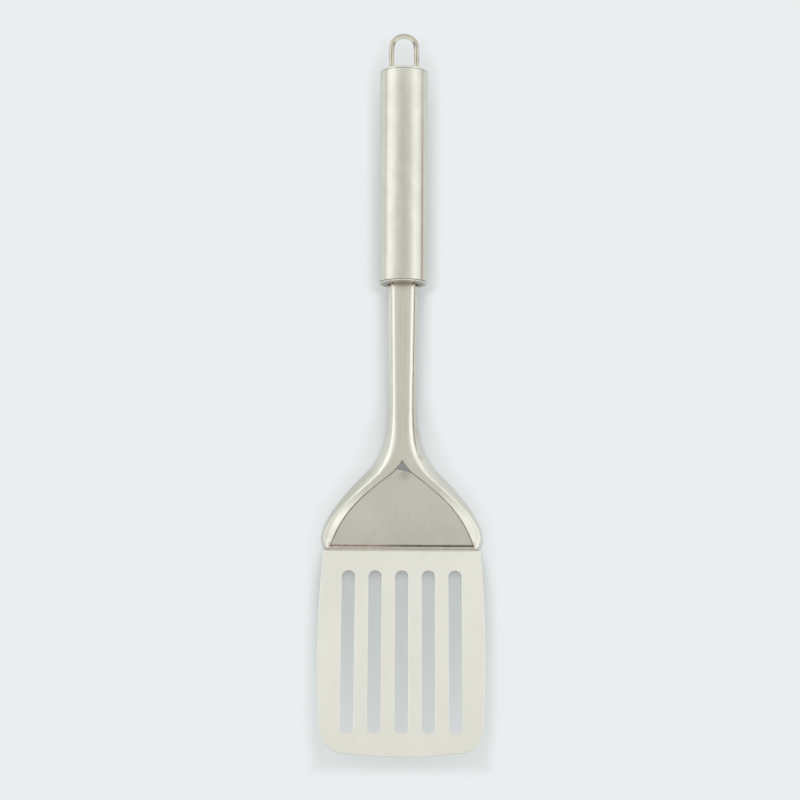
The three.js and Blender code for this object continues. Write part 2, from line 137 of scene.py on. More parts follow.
class BladeSizes(bpy.types.PropertyGroup):
    """Sizes of the blade and of the tang under the neck"""

    sheet: length("Sheet", "Thickness of the blade", 0.0012)
    fold: angle("Fold", "Rise of the blade from the grip line", 18.5)
    fold_radius: length("Fold radius", "Inside the fold", 0.001)
    long: length("Length", "From the fold to the front edge", 0.0992)
    heel: length("Heel", "Half width at the fold", 0.0363)
    bulge: length("Bulge", "Swell of each side past the heel", 0.00149)
    shrug: length("Shrug", "Swell left at the front corner", 0.0004)
    corner_across: length("Corner across", "Front corner, across", 0.0108)
    corner_along: length("Corner along", "Front corner, along", 0.015)
    side_lean: length("Side lean", "How each side comes to its corner", 0.0075)
    brow_lean: length("Brow lean", "How the front edge comes to its corner", 0.007)
    crown: length("Crown", "Rise of the front edge between its corners", 0.0016)
    slot_count: IntProperty(name="Slots", description="Number of slots", default=5, min=1)
    slot_pitch: length("Slot pitch", "Between the middles of the slots", 0.0122)
    slot_width: length("Slot width", "Across one slot", 0.006)
    slot_start: length("Slot start", "From the fold to the slots", 0.0101)
    slot_front: length("Slot front", "From the slots to the front edge", 0.0108)
    tang: length("Tang", "To the middle of the tang's slanted end", 0.0363)
    slant: angle("Tang slant", "Slant of the tang's end", 13)
    lap: length("Lap gap", "Between the neck and the tang under it", 0.0003)
    edge: length("Edge rounding", "Rounding of the sheet's edges", 0.00018)


class NeckSizes(bpy.types.PropertyGroup):
    """Sizes of the pressed neck and of its window"""

    sheet: length("Sheet", "Thickness of the neck", 0.0012)
    top: length("Top", "Height of the flat top over the grip's axis", 0.0027)
    shank: length("Shank", "From the front edge to the grip", 0.124)
    gripped: length("Gripped", "Length inside the grip", 0.022)
    shank_half: length("Shank half", "Half width at the grip", 0.0069)
    shank_flank: length("Shank flank", "Plan width of a sloping side at the grip", 0.0022)
    shank_depth: length("Shank depth", "Depth of the channel", 0.0055)
    full_depth: length("Full depth", "From the front edge to where the channel has that depth", 0.04)
    shank_round: length("Shank round", "Radius along the top's edges", 0.003)
    waist_half: length("Waist half", "Half width where the flare starts", 0.0065)
    waist_flank: length("Waist flank", "Plan width of a sloping side there", 0.0026)
    flare: length("Flare", "From the front edge to the start of the flare", 0.07)
    waist_sweep: length("Waist sweep", "How far the waist's line leads into the flare", 0.0252)
    arm_place: length("Arm place", "From the front edge to the middle of the arms", 0.0322)
    arm_half: length("Arm half", "Half width over the arms", 0.02)
    arm_flank: length("Arm flank", "Plan width of an arm's sloping side", 0.006)
    arm_spread: angle("Arm spread", "Between an arm and the grip line", 44)
    arm_back: length("Arm back sweep", "How far the arm's line leads back", 0.0126)
    arm_front: length("Arm front sweep", "How far the arm's line leads on", 0.0111)
    arm_round: length("Arm round", "Radius along the arms", 0.004)
    shoulder_half: length("Shoulder half", "Half width over the shoulders", 0.03705)
    shoulder_place: length("Shoulder place", "From the front edge to the shoulders", 0.0045)
    shoulder_sweep: length("Shoulder sweep", "How far the shoulder's line leads back", 0.0083)
    shoulder_flank: length("Shoulder flank", "Plan width of its sloping side", 0.0024)
    shoulder_depth: length("Shoulder depth", "Depth at the shoulders", 0.0024)
    shoulder_lean: length("Shoulder lean", "How much the top's edge closes in above", 0.0034)
    lip_inset: length("Lip inset", "Rounding of the shoulder into the lip", 0.0015)
    lip_flank: length("Lip flank", "Plan width of the sloping side at the lip", 0.001)
    lip: length("Lip", "Width of the strip in front of the window", 0.0009)
    window_rim: length("Window rim", "Flat left at the window's lower corners", 0.0016)
    window_apex: length("Window apex", "From the front edge to the window's top", 0.0411)
    crown: length("Crown", "Radius of the slight swell of the top", 0.022)
    arm_lean: angle("Arm lean", "Outward lean of the arms beside the window", 18)
    arm_tilt: angle("Arm tilt", "Least tilt of the arms' outer sides", 49)
    clear: length("Clearance", "Left between the arms' edges and the table", 0.0004)
    edge: length("Edge rounding", "Rounding of the sheet's edges", 0.00012)


class GripSizes(bpy.types.PropertyGroup):
    """Sizes of the hollow grip, its ends and its hanging loop"""

    long: length("Length", "Collar's face to cap's face", 0.1025)
    radius: length("Radius", "Outside radius of the tube", 0.011295)
    wall: length("Wall", "Thickness of the tube", 0.0006)
    collar_band: length("Collar band", "Part of the collar that shows past the tube", 0.0005)
    collar_round: length("Collar round", "Slope of the collar's rim, along the grip", 0.00045)
    collar_fall: length("Collar fall", "Slope of the collar's rim, down to its face", 0.0003)
    cap_band: length("Cap band", "Part of the cap that shows past the tube", 0.0011)
    cap_round: length("Cap round", "Rounding of the cap's rim", 0.0009)
    plate: length("End plate", "Thickness of an end's face", 0.001)
    lip: length("Tube lip", "Rounding of the tube's ends", 0.00025)
    spigot: length("Spigot", "Length of an end inside the tube", 0.005)
    fit: length("Fit gap", "Round a piece that is set into another", 0.0003)
    cap_seam: length("Cap seam", "Seen between the tube and the cap", 0.00008)
    wire: length("Wire", "Radius of the loop's wire", 0.00125)
    loop_half: length("Loop half", "Half the distance between the legs", 0.005925)
    loop_high: length("Loop height", "Over the cap's face", 0.0183)
    leg_inside: length("Leg inside", "Length of a leg past the cap's plate", 0.003)


class WeldSizes(bpy.types.PropertyGroup):
    """Sizes of the welds"""

    bead: length("Neck bead", "Radius of the beads at the collar", 0.0006)
    seam: length("Seam", "Radius of the runs under the arms", 0.00045)
    seam_front: length("Seam front", "From the front edge to the runs", 0.009)
    seam_stop: length("Seam stop", "From the runs to the tang's end", 0.008)
    ripple: length("Ripple", "Between the ripples of a run", 0.00045)
    fillet: length("Fillet", "Reach of the rings inside the cap", 0.0009)
    gap: length("Gap", "Between a weld and the faces it joins", 0.00005)


class Finish(bpy.types.PropertyGroup):
    """Colours of the steel, of what the making has left on it and of the painted shade and reflections on it"""

    steel: colour("Polished steel", "Colour of the polished blade", (0.80, 0.80, 0.728))
    pressed: colour("Pressed steel", "Colour of the neck and the grip's ends", (0.84, 0.832, 0.742))
    satin: colour("Satin steel", "Colour of the brushed tube", (0.745, 0.742, 0.668))
    wire: colour("Wire", "Colour of the loop", (0.61, 0.575, 0.48))
    weld: colour("Weld", "Colour of the weld metal", (0.85, 0.75, 0.55))
    # The heat tint colour also paints gap shade and dark reflection lines on the neck, the tang and the collar
    heat_and_shade: colour("Heat tint", "Straw to brown tint beside a weld or cut", (0.34, 0.2, 0.165))
    # The grime colour also paints shade in the crevice, by the pocket, on the collar's face and where the loop's bow
    # starts
    grime_and_shade: colour("Grime", "Polishing residue in a crevice", (0.03, 0.028, 0.022))
    polish: factor("Polish roughness", "Roughness of the polished sheet", 0.2)
    brush: factor("Satin roughness", "Roughness of the brushed tube", 0.3)


class Stage(bpy.types.PropertyGroup):
    """Floor, light and camera"""

    floor: colour("Floor", "Colour of the floor", (0.865, 0.9, 0.914))
    backdrop: colour("Backdrop", "The floor as it shows clear of the tool's shadow", (0.823, 0.855, 0.863))
    shadow: length("Shadow", "How far the tool's shadow reaches past its outline", 0.008)
    lens: FloatProperty(name="Lens", description="Focal length", default=112.5, subtype="DISTANCE_CAMERA")
    distance: length("Distance", "From the camera to the fold", 1.15)
    elevation: angle("Elevation", "Of the camera over the horizon", 77)
    roll: angle("Roll", "Turn of the camera about its view", 0.27)
    fold_row: FloatProperty(name="Fold row", description="Picture row of the fold", default=548.6)
    axis_column: FloatProperty(name="Axis column", description="Picture column of the tool", default=402.55)


GROUPS = {
    "turner_blade": BladeSizes,
    "turner_neck": NeckSizes,
    "turner_grip": GripSizes,
    "turner_weld": WeldSizes,
    "turner_finish": Finish,
    "turner_stage": Stage,
}


def sizes(context, name):
    return getattr(context.scene, f"turner_{name}")


# Drawing in the grip's space


def grip_matrix(context):
    """From the grip's space to the shared frame, as the hanging eye's place and direction give it."""
    neck, grip = sizes(context, "neck"), sizes(context, "grip")
    along = -Vector(EYE["axis"]).normalized()
    across = Vector((1, 0, 0))
    turn = Matrix((across, along, across.cross(along))).transposed().to_4x4()
    eye = Vector((0, neck.shank + grip.long + grip.loop_high - 2 * grip.wire, 0))
    return Matrix.Translation(Vector(EYE["pos_m"]) - turn @ eye) @ turn


def curve_point(points, share):
    """Point on the curve that its end points and pull points give."""
    while len(points) > 1:
        points = [a.lerp(b, share) for a, b in zip(points, points[1:])]
    return points[0]


def curve_line(*points, steps=60):
    ends = [Vector(point) for point in points]
    return [curve_point(ends, i / steps) for i in range(steps + 1)]


def across_at(line, place):
    """First number of a falling line of points at a place given by the second."""
    for far, near in zip(line, line[1:]):
        if far.y >= place >= near.y:
            span = far.y - near.y
            return far.x if span < 1e-9 else far.x + (near.x - far.x) * (far.y - place) / span
    return line[-1].x if place < line[-1].y else line[0].x


def clamped(share):
    return min(max(share, 0), 1)


def eased(value, low, high):
    """Share between two limits, with a soft start and end."""
    share = clamped((value - low) / (high - low))
    return share * share * (3 - 2 * share)


def bow(radius, start, stop):
    """Way across and down along a round edge between two tilts."""
    return radius * Vector((math.sin(stop) - math.sin(start), math.cos(stop) - math.cos(start)))


def spread(low, high, count):
    return [low + (high - low) * i / count for i in range(count + 1)]


def circle(radius, sides):
    """Points round the middle."""
    turns = [2 * math.pi * i / sides for i in range(sides)]
    return [(radius * math.cos(t), radius * math.sin(t)) for t in turns]


def path_of(form, points, closed=False):
    """Edges from each point to the next."""
    verts = [form.verts.new(point) for point in points]
    return [form.edges.new(pair) for pair in zip(verts, verts[1:] + verts[:closed])]


def sheet_of(form, rows, closed=False):
    """Quads between rows of points with the same count."""
    made = [[form.verts.new(point) for point in row] for row in rows]
    for low, high in zip(made, made[1:]):
        pairs = list(zip(zip(low, low[1:]), zip(high, high[1:])))
        if closed:
            pairs.append(((low[-1], low[0]), (high[-1], high[0])))
        for (a, b), (c, d) in pairs:
            form.faces.new((a, b, d, c))
    return made


def turned(form, profile, sides):
    """A profile of (radius, place) turned about the grip's axis."""
    sheet_of(form, [[(x, y, z) for x, z in circle(radius, sides)] for radius, y in profile], closed=True)


def quarter(middle, radius, start, stop, steps=6):
    """Points round part of a circle, between two angles in degrees."""
    return [
        (middle[0] + radius * math.cos(t), middle[1] + radius * math.sin(t))
        for t in spread(math.radians(start), math.radians(stop), steps)
    ]


def mesh_of(name, form):
    """The mesh of a form, which ends the form."""
    mesh = bpy.data.meshes.new(name)
    form.to_mesh(mesh)
    form.free()
    return mesh


def linked(context, name, data):
    """A new object in the scene."""
    obj = bpy.data.objects.new(name, data)
    context.collection.objects.link(obj)
    return obj


def plain_mesh(obj):
    """Turns an object's evaluated shape into its own plain mesh, without modifiers."""
    bpy.context.view_layer.update()
    shape = obj.evaluated_get(bpy.context.evaluated_depsgraph_get())
    mesh = bpy.data.meshes.new_from_object(shape)
    obj.modifiers.clear()
    obj.data = mesh


def object_of(context, name, form):
    """An object at the origin from a form drawn in the grip's space."""
    bmesh.ops.remove_doubles(form, verts=form.verts, dist=ONE_POINT)
    bmesh.ops.recalc_face_normals(form, faces=form.faces)
    form.transform(grip_matrix(context))
    return linked(context, name, mesh_of(name, form))


def rounded(obj, width):
    """Rounds the sheet's edges."""
    bevel = obj.modifiers.new("Edges", "BEVEL")
    bevel.width = width
    bevel.segments = 2
    bevel.limit_method = "ANGLE"
    bevel.angle_limit = ROUND_ABOVE
    bevel.use_clamp_overlap = False
    bevel.loop_slide = False
    plain_mesh(obj)


def finished(obj, material, slot, *nodes):
    """Shades a piece, gives it its finish and sets it on the tool in place of its solids."""
    obj.data.polygons.foreach_set("use_smooth", [True] * len(obj.data.polygons))
    obj.data.set_sharp_from_angle(angle=SMOOTH_BELOW)
    obj.data.materials.clear()
    obj.data.materials.append(material)
    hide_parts(*nodes)
    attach(obj, "root")


# Marks on the pieces


def marked_points(context, obj):
    """Each point of a piece, with its place and its way out in the grip's space and its empty marks."""
    for name in MARKS:
        obj.data.attributes.new(name, "FLOAT", "POINT")
    layers = [obj.data.attributes[name].data for name in MARKS]
    back = grip_matrix(context).inverted()
    turn = back.to_3x3()
    for i, vert in enumerate(obj.data.vertices):
        yield back @ vert.co, turn @ vert.normal, [layer[i] for layer in layers]


def patched(spot, scale):
    """Uneven strength from 0 to 1."""
    return 0.5 + 0.5 * noise.noise(spot * scale)


def smudged(spot, across, along, radius):
    """Strength of a soft round smudge."""
    return math.exp(-((math.hypot(spot.x - across, spot.y - along) / radius) ** 2))


def rim_side(spot):
    """Strength of the heat tint and painted gap shade along the window, which is weaker on the right."""
    return 1 if spot.x < 0 else 0.8


# Lines of the neck


def flare_line(neck, flank):
    """Half the neck's width along its length, for the outer edge or the edge of its flat top."""
    inset = {key: getattr(neck, f"{key}_flank") * flank for key in ("shank", "waist", "arm", "shoulder", "lip")}
    aslant = Vector((math.sin(neck.arm_spread), -math.cos(neck.arm_spread)))
    waist = Vector((neck.waist_half - inset["waist"], neck.flare))
    arm = Vector((neck.arm_half - inset["arm"], neck.arm_place))
    shoulder = Vector((neck.shoulder_half - inset["shoulder"], neck.shoulder_place))
    lip = Vector((neck.shoulder_half - neck.lip_inset - inset["lip"], 0))
    shank = neck.shank_half - inset["shank"]
    lean = Vector((-neck.shoulder_lean * flank, neck.shoulder_sweep))
    return [
        Vector((shank, neck.shank + neck.gripped)),
        Vector((shank, neck.shank)),
        *curve_line(waist, waist - Vector((0, neck.waist_sweep)), arm - aslant * neck.arm_back, arm),
        *curve_line(arm, arm + aslant * neck.arm_front, shoulder + lean, shoulder),
        *curve_line(shoulder, (shoulder.x, neck.shoulder_place / 3), lip),
    ]


def window_line(neck):
    """Right side of the window, from its apex down to its lower corner."""
    corner = Vector((neck.shoulder_half - neck.shoulder_flank - neck.window_rim, neck.lip))
    hip = Vector((0.0047, 0.0351))
    apex = Vector((0, neck.window_apex))
    from_apex, from_hip, from_corner = map(Vector, ((0.0014, -0.0027), (0.0135, -0.0104), (-0.0051, 0.0162)))
    return [
        *curve_line(apex, apex + from_apex, hip),
        *curve_line(hip, hip + from_hip, corner + from_corner, corner),
    ]


class NeckLines:
    """The neck's lines, and its cross-section at any place along it."""

    # Most that a rounded edge takes of the room it has
    round_share = 0.8
    # How much wider the rounded edge is where the arms fork, and how much steeper the shank's sides are
    fork_swell, shank_steeper = 0.7, 0.17
    # Least swell of the top, on the arms, as a share of the shank's
    arm_swell = 0.1

    def __init__(self, neck):
        self.neck = neck
        self.edge = flare_line(neck, 0)
        self.ridge = flare_line(neck, 1)
        self.window = window_line(neck)

    def inner(self, place):
        """Where the sheet starts beside the window, or the middle line where there is none."""
        if place >= self.neck.window_apex:
            return 0
        return across_at(self.window, max(place, self.neck.lip))

    def section(self, place):
        """Outer edge and ridge, the slope between them and the radius along the ridge."""
        neck = self.neck
        wide = eased(place, neck.shoulder_place, neck.flare)
        sunk = eased(place, neck.shoulder_place, neck.full_depth)
        depth = neck.shoulder_depth + (neck.shank_depth - neck.shoulder_depth) * sunk
        edge, ridge = across_at(self.edge, place), across_at(self.ridge, place)
        slope = math.atan2(depth, edge - ridge)
        most = neck.sheet + self.round_share * (depth - neck.sheet) / math.sin(slope) / math.tan(slope / 2)
        bend = min(neck.arm_round + (neck.shank_round - neck.arm_round) * wide, most)
        return edge, ridge, slope, bend

    def lean(self, place):
        """Lean of the sheet beside the window, which fades out at the lip and above the apex."""
        neck = self.neck
        fade = eased(place, 0.4 * neck.arm_place, 1.08 * neck.arm_place)
        return neck.arm_lean * (1 - fade) * eased(place, 0, neck.shoulder_place)

    def crown(self, place):
        """Radius of the top's swell, which the arms don't have."""
        return self.neck.crown / max(eased(place, self.neck.window_apex, self.neck.flare), self.arm_swell)

    def side_slope(self, place, slope):
        """Slope of a side, steep enough on the arms to turn from the light to the table."""
        neck, step = self.neck, 0.0005
        widening = (across_at(self.edge, place - step) - across_at(self.edge, place + step)) / (2 * step)
        arm = math.atan(math.tan(neck.arm_tilt) / math.hypot(1, widening))
        steeper = 1 + self.shank_steeper * eased(place, neck.full_depth, neck.flare)
        return max(arm, math.atan(math.tan(slope) * steeper))

    def shape(self, place):
        """Where the top starts, turns into its rounded edge and that edge into the side, down to the foot."""
        neck = self.neck
        edge, _, slope, bend = self.section(place)
        slope, start, first = self.side_slope(place, slope), self.inner(place), self.lean(place)
        # The table slopes in the grip's space, and the foot stays clear of it
        deep = min(neck.shank_depth, neck.top - neck.clear + EYE["axis"][2] / EYE["axis"][1] * place)
        fork = eased(place, 0.7 * neck.arm_place, neck.window_apex)
        bend *= 1 + self.fork_swell * fork * (1 - eased(place, neck.window_apex, neck.flare))
        bend = min(bend, self.round_share * (edge - start) / (math.sin(slope) - math.sin(first)))
        crown = self.crown(place)
        least, most = 0, edge - start
        for _ in range(SEARCH_STEPS):
            flat = (least + most) / 2
            turn = first + flat / crown
            brow = Vector((start, neck.top)) + bow(crown, first, turn)
            last = brow + bow(bend, turn, slope)
            foot = Vector((edge, last.y - (edge - last.x) * math.tan(slope)))
            least, most = (flat, most) if neck.top - foot.y > deep else (least, flat)
        return flat, first, turn, slope, bend, brow, last, foot

    def faces(self, place, columns):
        """Right half of the cross-section from the window outwards, its outside and its inside."""
        neck, start, crown = self.neck, self.inner(place), self.crown(place)
        flat, first, turn, slope, bend, brow, last, foot = self.shape(place)
        arc, flank = bend * (slope - turn), (foot - last).length
        under = last - neck.sheet * Vector((math.sin(slope), math.cos(slope)))
        under_foot = foot - Vector((neck.sheet / math.sin(slope), 0))
        # The inside lies square under the outside on the arms, and straight below it on the shank
        tucked = 1 - eased(place, neck.window_apex, neck.flare)
        # Points are close together at the window's rim, for the tint along it
        at_rim = (0, 0.0002, 0.00045, 0.0008)
        outside, inside = [], []
        for run in (*at_rim, *spread(0.0012, flat + arc + flank, columns)):
            if run < flat + arc:
                if run < flat:
                    way = first + run / crown
                    spot = Vector((start, neck.top)) + bow(crown, first, way)
                else:
                    way = turn + (run - flat) / bend
                    spot = brow + bow(bend, turn, way)
                low = spot - neck.sheet * Vector((tucked * math.sin(way), math.cos(way)))
            else:
                share = (run - flat - arc) / flank
                spot, low = last.lerp(foot, share), under.lerp(under_foot, share)
            outside.append((spot.x, place, spot.y))
            inside.append((max(low.x, start), place, low.y))
        return outside, inside

    def under_at(self, place, across):
        """Level of the sheet's underside at a distance from the middle."""
        inside = self.faces(place, 60)[1]
        for (x, _, z), (next_x, _, next_z) in zip(inside, inside[1:]):
            if x <= across <= next_x and next_x > x:
                return z + (next_z - z) * (across - x) / (next_x - x)
        return inside[-1][2]

    def tang_half(self, place, gap, lap):
        """Half the width of the tang, which just clears the inside of the sloping sides."""
        _, ridge, slope, _ = self.section(max(place, 0))
        return ridge - self.neck.sheet * math.tan(slope / 2) + lap / math.tan(slope) - gap


# Finishes


class Graph:
    """A node tree, with short ways to add nodes to it."""

    def __init__(self, tree):
        self.tree = tree

    def feed(self, socket, value):
        """Links an output to an input, or sets the input to a value."""
        if isinstance(value, bpy.types.NodeSocket):
            self.tree.links.new(value, socket)
        else:
            socket.default_value = value

    def node(self, kind, inputs=None, **settings):
        made = self.tree.nodes.new(kind)
        for key, value in settings.items():
            setattr(made, key, value)
        for key, value in (inputs or {}).items():
            self.feed(made.inputs[key], value)
        return made

    def out(self, kind, inputs=None, **settings):
        """First output of a new node."""
        return self.node(kind, inputs, **settings).outputs[0]

    def maths(self, operation, *values):
        return self.out("ShaderNodeMath", dict(enumerate(values)), operation=operation)

    def times(self, first, second):
        return self.maths("MULTIPLY", first, second)

    def plus(self, first, second):
        return self.maths("ADD", first, second)

    def minus(self, first, second):
        return self.maths("SUBTRACT", first, second)

    def off(self, value, middle=0.0):
        """How far a value is from a middle one."""
        return self.maths("ABSOLUTE", self.minus(value, middle))

    def vector(self, **parts):
        return self.out("ShaderNodeCombineXYZ", parts)

    def parts(self, vector):
        return self.node("ShaderNodeSeparateXYZ", {0: vector}).outputs

    def ranged(self, value, low, high, out_low=0.0, out_high=1.0):
        """A value eased from one range to another."""
        inputs = {"Value": value, "From Min": low, "From Max": high, "To Min": out_low, "To Max": out_high}
        return self.out("ShaderNodeMapRange", inputs, interpolation_type="SMOOTHSTEP")

    def ramped(self, value, stops):
        """Colour that follows a value between stops."""
        ramp = self.node("ShaderNodeValToRGB", {"Fac": value})
        elements = ramp.color_ramp.elements
        while len(elements) < len(stops):
            elements.new(0.5)
        for element, (place, tone) in zip(elements, stops):
            element.position = place
            element.color = (*tone, 1)
        return ramp.outputs[0]

    def blended(self, share, first, second, mode="MIX"):
        """A share of the second colour over the first."""
        mix = self.node("ShaderNodeMix", {0: share}, data_type="RGBA", blend_type=mode)
        for socket, tone in zip(mix.inputs[6:8], (first, second)):
            self.feed(socket, tone if isinstance(tone, bpy.types.NodeSocket) else (*tone, 1))
        return mix.outputs[2]

    def joined(self, *shapes):
        join = self.node("GeometryNodeJoinGeometry")
        for shape in shapes:
            self.feed(join.inputs[0], shape)
        return join.outputs[0]


class Metal(Graph):
    """Material of bare metal, with its patterns in the grip's space."""

    def __init__(self, context, name):
        self.material = bpy.data.materials.new(name)
        self.material.use_nodes = True
        super().__init__(self.material.node_tree)
        back = grip_matrix(context).inverted()
        spot = self.node("ShaderNodeTexCoord").outputs["Object"]
        inputs = {"Vector": spot, "Location": back.translation, "Rotation": back.to_euler()}
        self.place = self.out("ShaderNodeMapping", inputs, vector_type="POINT")

    def grain(self, stretch, detail=2.0, roughness=0.5, place=None):
        """Noise with its own count of grains per metre along each direction."""
        inputs = {"Vector": self.place if place is None else place, "Scale": stretch}
        scaled = self.out("ShaderNodeMapping", inputs, vector_type="POINT")
        inputs = {"Vector": scaled, "Scale": 1.0, "Detail": detail, "Roughness": roughness}
        return self.out("ShaderNodeTexNoise", inputs)

    def mark(self, name):
        return self.node("ShaderNodeAttribute", attribute_name=name).outputs["Fac"]

    def dressed(self, tone, rough, relief, strength):
        """The material, with its colour, its roughness and the fine relief of its surface."""
        bump = self.out("ShaderNodeBump", {"Height": relief, "Strength": strength, "Distance": RELIEF})
        shader = self.tree.nodes["Principled BSDF"]
        for key, value in (("Metallic", 1), ("Base Color", tone), ("Roughness", rough), ("Normal", bump)):
            self.feed(shader.inputs[key], value)
        return self.material


def polished_sheet(context, name, metal="pressed", marks=True):
    """Bright sheet: hairlines from the polishing wheel, soft clouding, and heat tint, residue, painted shade and
    painted dark reflection lines where marked.
    """
    finish, paint = sizes(context, "finish"), Metal(context, name)
    steel = Vector(getattr(finish, metal))
    hairs = paint.grain((2600, 90, 900), detail=3)
    cross = paint.grain((120, 2200, 900), detail=3)
    cloud = paint.grain((48, 34, 48), detail=4, roughness=0.6)
    smear = paint.grain((160, 70, 160), detail=3)
    pits = paint.ranged(paint.grain((900, 900, 900), detail=1), 0.74, 0.79)
    tone = paint.blended(paint.ranged(cloud, 0.35, 0.7), steel * 0.965, Vector((1.02, 1.02, 1.03)) * steel)
    tone = paint.blended(paint.ranged(smear, 0.52, 0.75, 0, 0.35), tone, steel * 0.93)
    tone = paint.blended(paint.times(pits, 0.25), tone, steel * 0.6)
    if metal == "pressed":
        streaks = paint.grain((650, 12, 650))
        tone = paint.blended(paint.ranged(streaks, 0.42, 0.7, 0, 0.6), tone, steel * 0.93)
    rough = paint.ranged(cloud, 0.3, 0.75, finish.polish - 0.03, finish.polish + 0.04)
    rough = paint.plus(rough, paint.ranged(hairs, 0.45, 0.75, 0, 0.04))
    if marks:
        heat_and_shade, grime_and_shade, dull_and_shade = (paint.mark(mark) for mark in MARKS)
        # The dullness mark darkens the colour as painted shade and adds roughness; the tint and grime marks also
        # carry painted shade and dark reflections
        tone = paint.blended(paint.times(dull_and_shade, 0.8), tone, steel * 0.72)
        rough = paint.plus(rough, paint.times(dull_and_shade, 0.15))
        uneven = paint.ranged(paint.grain((420, 420, 420), detail=3), 0.3, 0.62, 0.6, 1)
        tone = paint.blended(paint.times(heat_and_shade, uneven), tone, finish.heat_and_shade)
        tone = paint.blended(grime_and_shade, tone, finish.grime_and_shade)
        rough = paint.plus(rough, paint.times(grime_and_shade, 0.35))
    return paint.dressed(tone, rough, paint.plus(hairs, cross), 0.05)


def satin_tube(context, name):
    """Brushed tube: fine lines along it, mottling, painted shade on its lower sides and two painted dark reflection
    lines along it.
    """
    finish, grip, paint = sizes(context, "finish"), sizes(context, "grip"), Metal(context, name)
    satin = Vector(finish.satin)
    parts = paint.parts(paint.place)
    turn = paint.maths("ARCTAN2", parts["Z"], parts["X"])
    unrolled = paint.vector(X=paint.times(turn, grip.radius), Y=parts["Y"])
    lines = paint.grain((3800, 45, 1), detail=3, roughness=0.65, place=unrolled)
    streaks = paint.grain((520, 14, 1), place=unrolled)
    mottle = paint.grain((170, 120, 170), detail=4, roughness=0.6)
    tone = paint.blended(paint.ranged(mottle, 0.35, 0.68), satin * 0.95, satin * 1.03)
    tone = paint.blended(paint.ranged(streaks, 0.5, 0.72, 0, 0.08), tone, satin * 0.95)
    # Painted shade: the tube's lower sides are darker
    below = paint.ranged(paint.off(turn, math.pi / 2), math.radians(54), math.radians(76), 0, 0.8)
    tone = paint.blended(below, tone, satin * 0.86)
    back = sizes(context, "neck").shank + grip.long
    # Two painted dark reflection lines along the tube, at fixed turns round it
    for lean, in_front, at_back, tint in REFLECTION_LINES:
        line = paint.ranged(paint.off(turn, math.radians(lean)), math.radians(1.5), math.radians(7), 1, 0)
        reflection_strength = paint.ranged(parts["Y"], back - 0.7 * grip.long, back, in_front, at_back)
        tone = paint.blended(paint.times(line, reflection_strength), tone, tint)
    rough = paint.ranged(streaks, 0.3, 0.7, finish.brush - 0.03, finish.brush + 0.04)
    return paint.dressed(tone, rough, lines, 0.03)


def drawn_wire(context, name):
    """Drawn wire with a warm tarnish, a painted highlight inside its bow and painted shade where the bow starts."""
    finish, grip, paint = sizes(context, "finish"), sizes(context, "grip"), Metal(context, name)
    warm = Vector(finish.wire)
    lines = paint.grain((2400, 120, 2400))
    cloud = paint.grain((260, 200, 260), detail=3)
    tone = paint.blended(paint.ranged(cloud, 0.35, 0.65), warm * 0.88, warm * 1.08)
    parts = paint.parts(paint.place)
    across = paint.off(parts["X"])
    start = sizes(context, "neck").shank + grip.long + grip.loop_high - grip.wire - grip.loop_half
    along = paint.minus(parts["Y"], start)
    from_middle = paint.maths("SQRT", paint.plus(paint.times(across, across), paint.times(along, along)))
    # Painted highlight on the inside of the bow
    inside = paint.ranged(from_middle, grip.loop_half - 0.6 * grip.wire, grip.loop_half + 0.3 * grip.wire, 1, 0)
    painted_light = paint.times(inside, paint.ranged(along, 0.0015, 0.0045))
    tone = paint.blended(paint.times(painted_light, 0.9), tone, finish.pressed)
    # Painted shade on the inner edges where the bow starts
    beside = paint.ranged(paint.off(along, 0.001), 0.0005, 0.0025, 1, 0)
    edge = paint.ranged(across, grip.loop_half - grip.wire, grip.loop_half - 0.5 * grip.wire, 0.7, 0)
    tone = paint.blended(paint.times(beside, edge), tone, finish.grime_and_shade)
    return paint.dressed(tone, paint.ranged(lines, 0.3, 0.7, 0.1, 0.17), lines, 0.05)


def weld_metal(context, name):
    """Weld metal with straw and brown heat colours in patches."""
    finish, paint = sizes(context, "finish"), Metal(context, name)
    weld = Vector(finish.weld)
    patches = paint.grain((1500, 1500, 1500))
    tone = paint.blended(paint.ranged(patches, 0.5, 0.72), weld, finish.heat_and_shade)
    tone = paint.blended(paint.ranged(patches, 0.2, 0.42), weld * 1.1, tone)
    return paint.dressed(tone, paint.ranged(patches, 0.3, 0.7, 0.12, 0.4), patches, 0.3)


def finish_of(context, name, maker, **options):
    return bpy.data.materials.get(name) or maker(context, name, **options)


# Shapes made by nodes


def shape_graph(name, **kinds):
    """A node tree that makes a shape from points and edges, and what is given to it."""
    tree = bpy.data.node_groups.new(name, "GeometryNodeTree")
    for label, kind in {"Geometry": "Geometry", **kinds}.items():
        tree.interface.new_socket(label, in_out="INPUT", socket_type=f"NodeSocket{kind}")
    tree.interface.new_socket("Geometry", in_out="OUTPUT", socket_type="NodeSocketGeometry")
    graph = Graph(tree)
    return graph, graph.node("NodeGroupInput").outputs


def shape_end(graph, shape, material):
    """Ends a tree with its shape made real and given its material."""
    whole = graph.out("GeometryNodeRealizeInstances", {0: shape})
    painted = graph.out("GeometryNodeSetMaterial", {0: whole, "Material": material})
    graph.feed(graph.node("NodeGroupOutput").inputs[0], painted)
    return graph.tree


